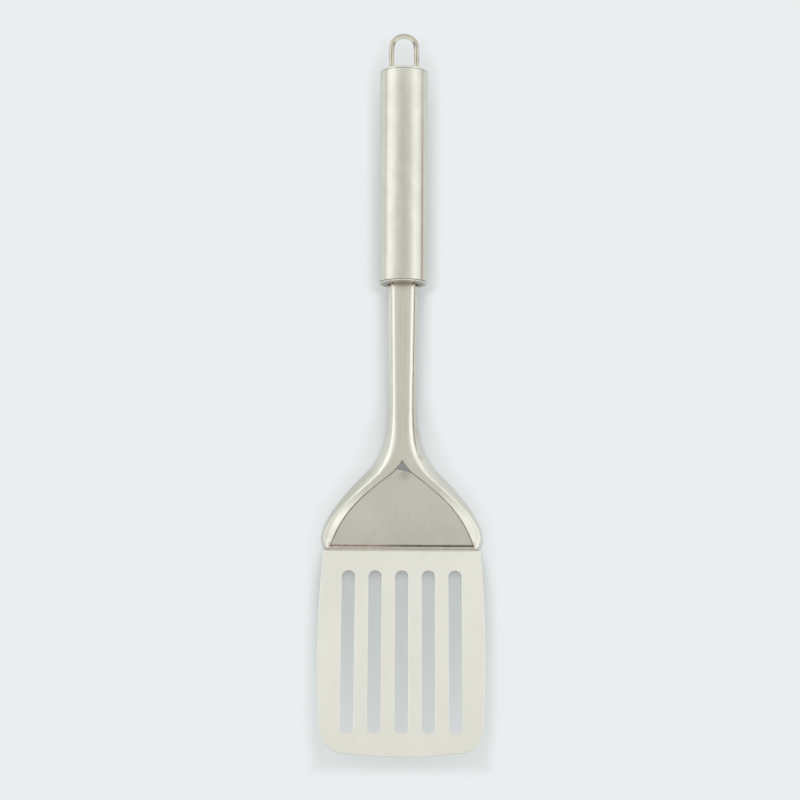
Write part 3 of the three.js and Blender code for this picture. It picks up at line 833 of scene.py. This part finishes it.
def perforated_sheet_tree():
    """A flat sheet inside an outline, with a row of round-ended slots, given its thickness."""
    lengths = dict.fromkeys(("Pitch", "Width", "Start", "Length", "Sheet"), "Float")
    graph, given = shape_graph("Perforated sheet", Slots="Int", **lengths, Steel="Material")
    inputs = {"Width": given["Width"], "Height": given["Length"]}
    inputs = {
        "Curve": graph.out("GeometryNodeCurvePrimitiveQuadrilateral", inputs),
        "Radius": graph.times(graph.times(given["Width"], 0.5), ROUND_END),
        "Count": 14,
    }
    slot = graph.out("GeometryNodeFilletCurve", inputs, mode="POLY")
    gaps = graph.minus(given["Slots"], 1.0)
    first = graph.times(graph.times(gaps, given["Pitch"]), -0.5)
    middle = graph.plus(given["Start"], graph.times(given["Length"], 0.5))
    inputs = {
        "Count": given["Slots"],
        "Start Location": graph.vector(X=first, Y=middle),
        "Offset": graph.vector(X=given["Pitch"]),
    }
    row = graph.out("GeometryNodeMeshLine", inputs)
    slots = graph.out("GeometryNodeInstanceOnPoints", {"Points": row, "Instance": slot})
    cuts = graph.out("GeometryNodeRealizeInstances", {0: slots})
    outline = graph.out("GeometryNodeMeshToCurve", {0: given["Geometry"]})
    top = graph.out("GeometryNodeFillCurve", {0: graph.joined(outline, cuts)}, mode="NGONS")
    drop = graph.times(given["Sheet"], -1.0)
    inputs = {"Mesh": top, "Offset": graph.vector(Z=1.0), "Offset Scale": drop, "Individual": False}
    thick = graph.out("GeometryNodeExtrudeMesh", inputs)
    solid = graph.out("GeometryNodeMergeByDistance", {0: graph.joined(thick, top), "Distance": ON_POINT})
    return shape_end(graph, solid, given["Steel"])


def weld_run_tree():
    """Overlapping ripples of weld metal along a path."""
    graph, given = shape_graph("Weld run", Ripple="Float", Radius="Float", Metal="Material")
    path = graph.out("GeometryNodeMeshToCurve", {0: given["Geometry"]})
    inputs = {"Curve": path, "Length": given["Ripple"]}
    spots = graph.node("GeometryNodeCurveToPoints", inputs, mode="LENGTH").outputs
    bead = graph.out("GeometryNodeMeshIcoSphere", {"Radius": given["Radius"], "Subdivisions": 2})
    limits = {"Min": (0.86, 0.86, 0.55), "Max": (0.98, 0.98, 0.7), "Seed": 7}
    swell = graph.out("FunctionNodeRandomValue", limits, data_type="FLOAT_VECTOR")
    inputs = {"Points": spots["Points"], "Instance": bead, "Rotation": spots["Rotation"], "Scale": swell}
    return shape_end(graph, graph.out("GeometryNodeInstanceOnPoints", inputs), given["Metal"])


def grown(context, form, tree, values):
    """The plain mesh that a node tree makes from a form of points and edges."""
    obj = linked(context, "path", mesh_of("path", form))
    modifier = obj.modifiers.new("Grow", "NODES")
    modifier.node_group = tree
    keys = {item.name: item.identifier for item in tree.interface.items_tree if item.in_out == "INPUT"}
    for label, value in values.items():
        modifier[keys[label]] = value
    plain_mesh(obj)
    made = bmesh.new()
    made.from_mesh(obj.data)
    bpy.data.objects.remove(obj)
    return made


# Pieces


class TURNER_OT_blade(bpy.types.Operator):
    """Slotted blade, its fold and the tang under the neck, in one sheet"""

    bl_idname = "turner.blade"
    bl_label = "Blade"
    columns, rows, fold_rows = 240, 90, 8
    # Where the dark line of painted shade and residue along the lip starts to grow to the right, over what width, and
    # how far heat reaches back
    residue_start, residue_growth, heat_reach = -0.012, 0.014, 0.011

    def execute(self, context):
        blade, neck, grip = (sizes(context, key) for key in ("blade", "neck", "grip"))
        lines = NeckLines(neck)
        steel = finish_of(context, "Polished blade steel", polished_sheet, metal="steel")
        tang_top = neck.top - neck.sheet - blade.lap
        centre = Vector((-grip.fit, tang_top + blade.fold_radius))

        def half(place):
            return lines.tang_half(place, grip.fit, blade.lap)

        shares = spread(-1, 1, self.columns)
        heel_row = [half(0) * share for share in shares]
        form = self.plate(context, blade, heel_row, steel)
        form.transform(self.blade_space(blade, centre))
        faces = []
        for below in (0, blade.sheet):
            bend = self.bend_rows(blade, heel_row, centre, below)
            tang = self.tang_rows(blade, shares, half, centre.x, tang_top - below)
            sheet_of(form, bend)
            sheet_of(form, tang)
            faces.append((tang, bend))
        self.side_walls(form, *faces)
        obj = object_of(context, "blade_sheet", form)
        self.mark(context, obj, lines, tang_top)
        rounded(obj, blade.edge)
        finished(obj, steel, "polished_steel", "blade")
        return {"FINISHED"}

    def plate(self, context, blade, heel_row, steel):
        """The flat blade in its own plane, open along the middle of its heel, where the fold joins it."""
        side, brow = blade.long - blade.corner_along, blade.long - blade.crown
        front = blade.heel - blade.corner_across
        shoulder = (blade.heel + blade.shrug, side)
        curves = (
            (40, (blade.heel, 0), (blade.heel + 2 * blade.bulge, side / 2), shoulder),
            (32, shoulder, (blade.heel, side + blade.side_lean), (front + blade.brow_lean, brow), (front, brow)),
            (32, (front, brow), (front / 2, blade.long), (0, blade.long)),
        )
        right = [Vector((blade.heel, 0))]
        for steps, *points in curves:
            right += curve_line(*points, steps=steps)[1:]
        left = [Vector((-point.x, point.y)) for point in reversed(right[:-1])]
        outline = [*(Vector((x, 0)) for x in heel_row), *right, *left]
        form = bmesh.new()
        path_of(form, [(point.x, point.y, 0) for point in outline], closed=True)
        values = {
            "Slots": blade.slot_count,
            "Pitch": blade.slot_pitch,
            "Width": blade.slot_width,
            "Start": blade.slot_start,
            "Length": blade.long - blade.slot_front - blade.slot_start,
            "Sheet": blade.sheet,
            "Steel": steel,
        }
        form = grown(context, form, perforated_sheet_tree(), values)
        reach = heel_row[-1] + ON_POINT

        def at_fold(vert):
            return abs(vert.co.y) < ON_POINT and abs(vert.co.x) < reach

        wall = [face for face in form.faces if all(at_fold(vert) for vert in face.verts)]
        bmesh.ops.delete(form, geom=wall, context="FACES")
        return form

    def blade_space(self, blade, centre):
        """From the flat sheet's own plane to the folded blade's place in the grip's space."""
        c, s = math.cos(blade.fold), math.sin(blade.fold)
        y, z = centre.x - blade.fold_radius * s, centre.y - blade.fold_radius * c
        return Matrix(((1, 0, 0, 0), (0, -c, s, y), (0, s, c, z), (0, 0, 0, 1)))

    def bend_rows(self, blade, heel_row, centre, below):
        """Rows of points round one face of the fold."""
        rows = []
        for turn in spread(0, blade.fold, self.fold_rows):
            back, down = ((blade.fold_radius + below) * way(turn) for way in (math.sin, math.cos))
            rows.append([(x, centre.x - back, centre.y - down) for x in heel_row])
        return rows

    def tang_rows(self, blade, shares, half, front, height):
        """Rows of points on one face of the tang, from the fold to its slanted end."""
        ends = [self.tang_end(blade, share, half) for share in shares]
        rows = []
        for step in spread(0, 1, self.rows):
            places = [front + (end - front) * step for end in ends]
            rows.append([(half(y) * share, y, height) for share, y in zip(shares, places)])
        return rows

    def tang_end(self, blade, share, half):
        """Where a column of the tang meets its slanted end."""
        place = blade.tang
        for _ in range(SEARCH_STEPS):
            place = blade.tang - math.tan(blade.slant) * share * half(place)
        return place

    def side_walls(self, form, top, low):
        """The sheet's slanted end, and its cut sides along the tang and the fold."""
        sheet_of(form, [top[0][-1], low[0][-1]])
        for column in (0, -1):
            for faces in zip(top, low):
                sheet_of(form, [[row[column] for row in face] for face in faces])

    def mark(self, context, obj, lines, tang_top):
        """Painted shade and residue in the crevice along the lip, heat tint with painted gap shade along the window
        and painted shade by the pocket, on the tang's top.
        """
        for spot, _, (heat_and_shade, grime_and_shade, _) in marked_points(context, obj):
            if abs(spot.z - tang_top) > ON_FACE or spot.y < 0:
                continue
            patch = patched(spot, 260)
            from_rim = abs(lines.inner(spot.y) - abs(spot.x)) * 0.75
            # Heat tint along the window, partly painted shade of the gap under the neck's rim
            line = clamped(1.5 - from_rim / RIM_TINT_AND_SHADE) * rim_side(spot) * (0.6 + 0.4 * patch)
            # Painted shade and residue in the crevice along the lip, heavier to the right
            crevice = clamped(2 - abs(spot.y - lines.neck.lip) / CREVICE)
            heavy = 0.25 + 0.75 * clamped((spot.x - self.residue_start) / self.residue_growth)
            heat_and_shade.value = max(line, 0.8 * crevice, 0.1 * math.exp(-((spot.y / self.heat_reach) ** 2)))
            # The grime mark holds the crevice line and the painted shade by the pocket
            grime_and_shade.value = max(crevice * heavy * (0.75 + 0.25 * patch), 0.3 * smudged(spot, *POCKET_SHADE))


class TURNER_OT_neck(bpy.types.Operator):
    """Pressed neck: channel-shaped shank, arms round the window and the lip in front of it"""

    bl_idname = "turner.neck"
    bl_label = "Neck"
    columns, lip_columns = 44, 60
    # Painted dark reflection line along the shank: its place on the rounded edge and its width as shares of the edge,
    # and its start's length
    line_share, line_width, line_start = 0.84, 0.12, 0.012

    def execute(self, context):
        neck = sizes(context, "neck")
        lines = NeckLines(neck)
        places = self.places(neck)
        form = bmesh.new()
        for side in (-1, 1):
            self.half(form, lines, places, side)
        self.lip(form, lines)
        obj = object_of(context, "neck_pressing", form)
        self.mark(context, obj, lines)
        rounded(obj, neck.edge)
        steel = finish_of(context, "Polished neck steel", polished_sheet)
        finished(obj, steel, "polished_steel", "neck")
        return {"FINISHED"}

    def places(self, neck):
        """Places along the neck, closest together in the flare and at the window's apex and lip."""
        return [
            *spread(neck.shank + neck.gripped, neck.flare, 24),
            *spread(neck.flare, neck.window_apex, 60)[1:],
            *spread(neck.window_apex, neck.lip, 150)[1:],
            *spread(neck.lip, 0, 3)[1:],
        ]

    def half(self, form, lines, places, side):
        """One side of the pressing, with its ends, its foot and its edge at the window."""
        neck = lines.neck
        top, low = [], []
        for place in places:
            for rows, face in zip((top, low), lines.faces(place, self.columns)):
                rows.append([(side * x, y, z) for x, y, z in face])
        for rows in (top, low):
            sheet_of(form, rows)
        sheet_of(form, [top[0], low[0]])
        sheet_of(form, [top[-1], low[-1]])
        sheet_of(form, [[row[-1] for row in top], [row[-1] for row in low]])
        beside = [i for i, y in enumerate(places) if neck.lip - ON_POINT < y < neck.window_apex + ON_POINT]
        sheet_of(form, [[top[i][0] for i in beside], [low[i][0] for i in beside]])

    def lip(self, form, lines):
        """The strip in front of the window."""
        neck = lines.neck
        corner = lines.inner(neck.lip)
        across = spread(-corner, corner, self.lip_columns)
        along = spread(neck.lip, 0, 3)
        heights = (neck.top, neck.top - neck.sheet)
        for height in heights:
            sheet_of(form, [[(x, y, height) for x in across] for y in along])
        for y in (0, neck.lip):
            sheet_of(form, [[(x, y, height) for x in across] for height in heights])

    def mark(self, context, obj, lines):
        """Heat tint with painted gap shade on the rim, a painted dark reflection line along the shank, heat tint at
        the collar, and painted shade with more roughness on the arms' outer sides.
        """
        neck = lines.neck
        for spot, way, (heat_and_shade, grime_and_shade, dull_and_shade) in marked_points(context, obj):
            patch = patched(spot, 180)
            tints = [0.5 * patch * max(1 - abs(spot.y - neck.shank) / COLLAR_TINT, 0)]
            if neck.lip < spot.y < neck.window_apex:
                # Heat tint along the window's rim, partly painted shade of the gap under it
                from_rim = abs(abs(spot.x) - lines.inner(spot.y))
                tints.append(clamped(1.3 - from_rim / RIM_TINT_AND_SHADE) * rim_side(spot) * (0.7 + 0.3 * patch))
            if spot.y < neck.lip and way.z > 0.5:
                tints.append(0.22 + 0.1 * patch)
            if spot.y > neck.window_apex and way.z > 0.2:
                # Painted dark reflection line along the shank, strong on the right and weaker on the left
                line = self.shank_reflection_line(spot, way, lines)
                tints.append(line if spot.x > 0 else 0.6 * line * patch)
                grime_and_shade.value = 0.25 * line if spot.x > 0 else 0
            if way.z > 0:
                tints.append(0.35 * smudged(spot, *SHANK_STAIN))
                # Painted shade, with more roughness, on the arms
                dull_and_shade.value = self.arm_shade_and_dullness(spot, lines)
            heat_and_shade.value = max(tints)

    def shank_reflection_line(self, spot, way, lines):
        """Strength of the painted dark reflection line along the shank, low on its rounded edge."""
        apex = lines.neck.window_apex
        share = math.atan2(abs(way.x), way.z) / lines.side_slope(spot.y, lines.section(spot.y)[2])
        fade = min((spot.y - apex) / self.line_start, 1)
        return fade * math.exp(-(((share - self.line_share) / self.line_width) ** 2))

    def arm_shade_and_dullness(self, spot, lines):
        """Painted shade, with more roughness, on an arm, mostly on its outer side and on the left arm."""
        arm = lines.neck.arm_place
        if spot.y >= 1.35 * arm:
            return 0
        inner, edge = lines.inner(spot.y), across_at(lines.edge, max(spot.y, 0))
        reach = 0.4 + 0.2 * eased(spot.y, 0.6 * arm, 1.2 * arm)
        outward = eased((abs(spot.x) - inner) / (edge - inner), reach, reach + 0.22)
        painted_light = outward if spot.x < 0 else 0.1 + 0.35 * outward
        return painted_light * (1 - eased(spot.y, 1.05 * arm, 1.35 * arm))


class TURNER_OT_grip(bpy.types.Operator):
    """Hollow tube of the grip, with its front collar and butt cap"""

    bl_idname = "turner.grip"
    bl_label = "Grip"
    sides, hole_sides = 128, 32
    # Rounding of an end's edge at the tube, and thickness of its spigot
    brink, spigot_wall = 0.00005, 0.0008
    # Radius of the heat tint and painted shade round the shank, and the tint's reach to each side above it
    tint_radius, tint_reach = 0.0085, 0.005

    def execute(self, context):
        self.tube(context)
        self.collar(context)
        self.cap(context)
        return {"FINISHED"}

    def tube(self, context):
        neck, grip = sizes(context, "neck"), sizes(context, "grip")
        front = neck.shank + grip.collar_band + grip.fit
        back = neck.shank + grip.long - grip.cap_band - grip.cap_seam
        outer, inner, lip = grip.radius, grip.radius - grip.wall, grip.lip
        profile = [
            (inner, front),
            *quarter((outer - lip, front + lip), lip, -90, 0),
            *[(outer, y) for y in spread(front + lip, back - lip, 12)[1:-1]],
            *quarter((outer - lip, back - lip), lip, 0, 90),
            (inner, back),
            (inner, front),
        ]
        form = bmesh.new()
        turned(form, profile, self.sides)
        obj = object_of(context, "grip_tube", form)
        finished(obj, finish_of(context, "Satin tube steel", satin_tube), "satin_steel", "handle_tube")

    def end_profile(self, grip, face, inward, band, rim):
        """Outside of an end from the edge of its face to the end of its spigot, and back inside."""
        spigot = grip.radius - grip.wall - grip.fit
        return [
            *rim,
            (grip.radius, face + inward * (band - self.brink)),
            (grip.radius - self.brink, face + inward * band),
            (spigot, face + inward * band),
            (spigot, face + inward * (band + grip.spigot)),
            (spigot - self.spigot_wall, face + inward * (band + grip.spigot)),
            (spigot - self.spigot_wall, face + inward * grip.plate),
        ]

    def faced(self, form, ring, holes, y):
        """A flat face inside a ring, with holes, at a place along the grip."""
        edges = []
        for loop in (ring, *holes):
            edges += path_of(form, [(x, y, z) for x, z in loop], closed=True)
        bmesh.ops.triangle_fill(form, edges=edges, use_beauty=True)

    def ended(self, context, name, profile, face, inward, holes):
        """An end of the grip, with holes through its plate."""
        places = (face, face + inward * sizes(context, "grip").plate)
        form = bmesh.new()
        turned(form, profile, self.sides)
        for (radius, _), y in zip((profile[0], profile[-1]), places):
            self.faced(form, circle(radius, self.sides), holes, y)
        for hole in holes:
            sheet_of(form, [[(x, y, z) for x, z in hole] for y in places], closed=True)
        return object_of(context, name, form)

    def collar(self, context):
        neck, grip = sizes(context, "neck"), sizes(context, "grip")
        lines = NeckLines(neck)
        right = [(x, z) for x, _, z in lines.faces(neck.shank, 24)[0]]
        middle = neck.top - neck.shank_depth / 2
        grow = 1 + 0.5 * grip.fit / neck.shank_depth
        right = [(x * (1 + 2 * grip.fit / neck.shank_half), middle + (z - middle) * grow) for x, z in right]
        left = [(-x, z) for x, z in reversed(right[1:])]
        rim = [(grip.radius - grip.collar_fall, neck.shank), (grip.radius, neck.shank + grip.collar_round)]
        profile = self.end_profile(grip, neck.shank, 1, grip.collar_band, rim)
        obj = self.ended(context, "grip_collar", profile, neck.shank, 1, [right + left])
        self.mark(context, obj)
        finished(obj, finish_of(context, "Polished collar steel", polished_sheet), "polished_steel", "front_collar")

    def mark(self, context, obj):
        """Heat tint from welding and painted shade on the collar's face, heaviest round the shank."""
        shank = sizes(context, "neck").shank
        for spot, _, (heat_and_shade, grime_and_shade, _) in marked_points(context, obj):
            if abs(spot.y - shank) < ON_FACE:
                beside = math.hypot(spot.x, spot.z) < self.tint_radius
                above = math.exp(-((spot.x / self.tint_reach) ** 2)) if spot.z > 0 else 0
                # Heat tint round and above the shank, and painted shade over the whole face, heaviest round the shank
                heat_and_shade.value = 1 if beside else 0.6 * above
                grime_and_shade.value = 0.4 if beside else 0.2

    def cap(self, context):
        neck, grip = sizes(context, "neck"), sizes(context, "grip")
        hole = circle(grip.wire + grip.fit / 4, self.hole_sides)
        holes = [[(middle + x, z) for x, z in hole] for middle in (-grip.loop_half, grip.loop_half)]
        face = neck.shank + grip.long
        rim = quarter((grip.radius - grip.cap_round, face - grip.cap_round), grip.cap_round, 90, 0, steps=10)
        profile = self.end_profile(grip, face, -1, grip.cap_band, rim)
        obj = self.ended(context, "grip_cap", profile, face, -1, holes)
        steel = finish_of(context, "Polished cap steel", polished_sheet, marks=False)
        finished(obj, steel, "polished_steel", "butt_cap")


class TURNER_OT_loop(bpy.types.Operator):
    """Wire loop that the tool hangs from"""

    bl_idname = "turner.loop"
    bl_label = "Hanging loop"
    sides = 28

    def execute(self, context):
        neck, grip = sizes(context, "neck"), sizes(context, "grip")
        face, bow = neck.shank + grip.long, grip.loop_half
        low, high = face - grip.plate - grip.leg_inside, face + grip.loop_high - grip.wire - bow
        legs = spread(low, high, 10)
        line = [
            *[((-bow, y), math.pi) for y in legs[:-1]],
            *[((-bow * math.cos(t), high + bow * math.sin(t)), math.pi - t) for t in spread(0, math.pi, 48)],
            *[((bow, y), 0) for y in reversed(legs[:-1])],
        ]
        rows = []
        for (x, y), way in line:
            c, s = math.cos(way), math.sin(way)
            rows.append([(x + out * c, y + out * s, up) for out, up in circle(grip.wire, self.sides)])
        form = bmesh.new()
        made = sheet_of(form, rows, closed=True)
        for ring in (made[0], made[-1]):
            form.faces.new(ring)
        obj = object_of(context, "loop_wire", form)
        finished(obj, finish_of(context, "Drawn loop wire", drawn_wire), "steel_wire", "hanging_loop")
        return {"FINISHED"}


class TURNER_OT_welds(bpy.types.Operator):
    """Beads at the collar, runs under the arms and rings inside the cap"""

    bl_idname = "turner.welds"
    bl_label = "Welds"
    ring_sides = 40

    def execute(self, context):
        metal = finish_of(context, "Weld metal", weld_metal)
        run = weld_run_tree()
        for name, side in (("left", -1), ("right", 1)):
            self.bead(context, name, side, metal)
            self.seam(context, name, side, metal, run)
            self.ring(context, name, side, metal)
        return {"FINISHED"}

    def bead(self, context, name, side, metal):
        """A lumpy bead in the angle between the collar's face and the shank's rounded edge."""
        neck, weld = sizes(context, "neck"), sizes(context, "weld")
        _, _, turn, slope, bend, brow, _, _ = NeckLines(neck).shape(neck.shank)
        spot = brow + bow(bend, turn, slope / 2)
        spot += (weld.bead + weld.gap) * Vector((math.sin(slope / 2), math.cos(slope / 2)))
        middle = Vector((side * spot.x, neck.shank - weld.bead - weld.gap, spot.y))
        form = bmesh.new()
        bmesh.ops.create_icosphere(form, subdivisions=4, radius=weld.bead)
        for vert in form.verts:
            lump = 0.93 + 0.07 * noise.noise(vert.co * 2600 + Vector((side * 3, 0, 0)))
            vert.co = middle + vert.co * lump
        finished(object_of(context, f"collar_bead_{name}", form), metal, "weld_metal", f"neck_weld_{name}")

    def seam(self, context, name, side, metal, run):
        """Ripples of weld in the groove between the tang's side and the arm."""
        blade, neck, grip, weld = (sizes(context, key) for key in ("blade", "neck", "grip", "weld"))
        lines = NeckLines(neck)
        step, drop = 0.001, 1.3
        points = []
        for place in spread(weld.seam_front, blade.tang - weld.seam_stop, 40):
            widening = across_at(lines.edge, place - step) - across_at(lines.edge, place)
            clear = (weld.seam + weld.gap) / math.cos(math.atan2(widening, step))
            x = lines.tang_half(place, grip.fit, blade.lap) + clear
            points.append((side * x, place, lines.under_at(place, x) - drop * clear))
        form = bmesh.new()
        path_of(form, points)
        form = grown(context, form, run, {"Ripple": weld.ripple, "Radius": weld.seam, "Metal": metal})
        finished(object_of(context, f"arm_seam_{name}", form), metal, "weld_metal", f"blade_weld_{name}")

    def ring(self, context, name, side, metal):
        """A fillet of weld round a leg of the wire, under the cap's plate."""
        neck, grip, weld = (sizes(context, key) for key in ("neck", "grip", "weld"))
        inner, fillet = grip.wire + weld.gap, weld.fillet
        top = neck.shank + grip.long - grip.plate - weld.gap
        profile = [
            (inner, top),
            (inner, top - fillet),
            *[(inner + fillet * math.sin(t), top - fillet * math.cos(t)) for t in spread(0, math.pi / 2, 8)[1:]],
            (inner, top),
        ]
        form = bmesh.new()
        turned(form, profile, self.ring_sides)
        bmesh.ops.translate(form, verts=form.verts, vec=(side * grip.loop_half, 0, 0))
        finished(object_of(context, f"loop_fillet_{name}", form), metal, "weld_metal", f"loop_weld_{name}")


class TURNER_OT_stage(bpy.types.Operator):
    """Pale floor, soft light from all round and the camera"""

    bl_idname = "turner.stage"
    bl_label = "Stage"
    floor_half = 6
    # Least share of the even backdrop, under the tool
    under_tool = 0.12

    def execute(self, context):
        self.floor(context)
        self.sky(context)
        self.lamps(context)
        self.camera(context)
        context.scene.view_settings.view_transform = "Standard"
        return {"FINISHED"}

    def floor(self, context):
        form = bmesh.new()
        bmesh.ops.create_grid(form, x_segments=1, y_segments=1, size=self.floor_half)
        obj = linked(context, "floor", mesh_of("floor", form))
        obj.data.materials.append(self.floor_material(sizes(context, "stage")))

    def floor_material(self, stage):
        """Matt floor that keeps the tool's shadow beside it and shows as an even backdrop farther off."""
        material = bpy.data.materials.new("Pale floor")
        material.use_nodes = True
        graph = Graph(material.node_tree)
        shader, end = (graph.tree.nodes[name] for name in ("Principled BSDF", "Material Output"))
        for key, value in (("Base Color", (*stage.floor, 1)), ("Roughness", 0.9), ("Specular IOR Level", 0)):
            graph.feed(shader.inputs[key], value)
        ray = graph.node("ShaderNodeLightPath").outputs
        seen = graph.plus(graph.plus(ray["Is Camera Ray"], ray["Is Glossy Ray"]), ray["Is Transmission Ray"])
        share = graph.times(self.clear_of_tool(graph, stage), graph.maths("MINIMUM", seen, 1.0))
        even = graph.out("ShaderNodeEmission", {"Color": (*stage.backdrop, 1), "Strength": 1.0})
        graph.feed(end.inputs["Surface"], graph.out("ShaderNodeMixShader", {0: share, 1: shader.outputs[0], 2: even}))
        return material

    def clear_of_tool(self, graph, stage):
        """Share of the even backdrop on the floor, which grows with the distance from the tool's outline."""
        (_, low, _), (blade_half, high, _) = CAD_BOX
        spot = graph.parts(graph.node("ShaderNodeTexCoord").outputs["Object"])
        along = graph.out("ShaderNodeMapRange", {"Value": spot["Y"], "From Min": low, "From Max": high})
        half = graph.ramped(along, [(stop, (level,) * 3) for stop, level in OUTLINE])
        beside = graph.minus(graph.off(spot["X"]), graph.times(half, blade_half))
        ahead = graph.maths("MAXIMUM", graph.minus(spot["Y"], high), graph.minus(low, spot["Y"]))
        return graph.ranged(graph.maths("MAXIMUM", beside, ahead), 0, stage.shadow, self.under_tool, 1)

    def sky(self, context):
        """Soft light all round, darker and warmer straight overhead, and darker at the back and front."""
        world = bpy.data.worlds.new("Studio")
        context.scene.world = world
        world.use_nodes = True
        graph = Graph(world.node_tree)
        way = graph.parts(graph.node("ShaderNodeTexCoord").outputs["Generated"])
        stops = []
        for height, level in SKY:
            warm = eased(height, SKY_WARM, 1)
            stops.append((height, (level, level * (1 - GREEN_LOSS * warm), level * (1 - BLUE_LOSS * warm))))
        dimmed = graph.times(*(graph.ranged(way["Y"], *limits) for limits in (SKY_AT_BACK, SKY_IN_FRONT)))
        light = graph.tree.nodes["Background"].inputs
        graph.feed(light["Color"], graph.blended(1.0, graph.ramped(way["Z"], stops), dimmed, mode="MULTIPLY"))
        graph.feed(light["Strength"], SKY_STRENGTH)

    def lamps(self, context):
        """Soft boxes low on the left, high on the right and at the back, and low in front."""
        for name, (place, size, power) in SOFT_BOXES.items():
            lamp = bpy.data.lights.new(f"soft_box_{name}", "AREA")
            lamp.shape = "RECTANGLE"
            lamp.size, lamp.size_y = size
            lamp.energy = power
            obj = linked(context, f"soft_box_{name}", lamp)
            obj.location = place
            obj.rotation_euler = Vector(place).to_track_quat("Z", "Y").to_euler()

    def camera(self, context):
        stage, neck = sizes(context, "stage"), sizes(context, "neck")
        data = bpy.data.cameras.new("camera")
        data.lens, data.sensor_width = stage.lens, 36
        obj = linked(context, "camera", data)
        turn = Matrix.Rotation(math.pi / 2 - stage.elevation, 4, "X")
        pixel = stage.distance * data.sensor_width / data.lens / IMAGE_PIXELS
        fold = grip_matrix(context) @ Vector((0, 0, neck.top))
        right = (IMAGE_PIXELS / 2 - stage.axis_column) * pixel
        up = (stage.fold_row - IMAGE_PIXELS / 2) * pixel
        obj.matrix_world = (
            Matrix.Translation(fold + turn.to_3x3() @ Vector((right, up, stage.distance)))
            @ turn
            @ Matrix.Rotation(stage.roll, 4, "Z")
        )
        context.scene.camera = obj


PIECES = (TURNER_OT_blade, TURNER_OT_neck, TURNER_OT_grip, TURNER_OT_loop, TURNER_OT_welds, TURNER_OT_stage)


class TURNER_PT_panel(bpy.types.Panel):
    """Lists the turner's pieces"""

    bl_idname = "TURNER_PT_panel"
    bl_label = "Slotted Turner"
    bl_space_type = "VIEW_3D"
    bl_region_type = "UI"
    bl_category = "Turner"

    def draw(self, context):
        for piece in PIECES:
            self.layout.operator(piece.bl_idname)


CLASSES = (*GROUPS.values(), *PIECES, TURNER_PT_panel)


def register():
    for cls in CLASSES:
        bpy.utils.register_class(cls)
    for name, group in GROUPS.items():
        setattr(bpy.types.Scene, name, PointerProperty(type=group))


def unregister():
    for name in GROUPS:
        delattr(bpy.types.Scene, name)
    for cls in reversed(CLASSES):
        bpy.utils.unregister_class(cls)


def main():
    register()
    bpy.ops.turner.blade()
    bpy.ops.turner.neck()
    bpy.ops.turner.grip()
    bpy.ops.turner.loop()
    bpy.ops.turner.welds()
    bpy.ops.turner.stage()


if __name__ == "__main__":
    main()
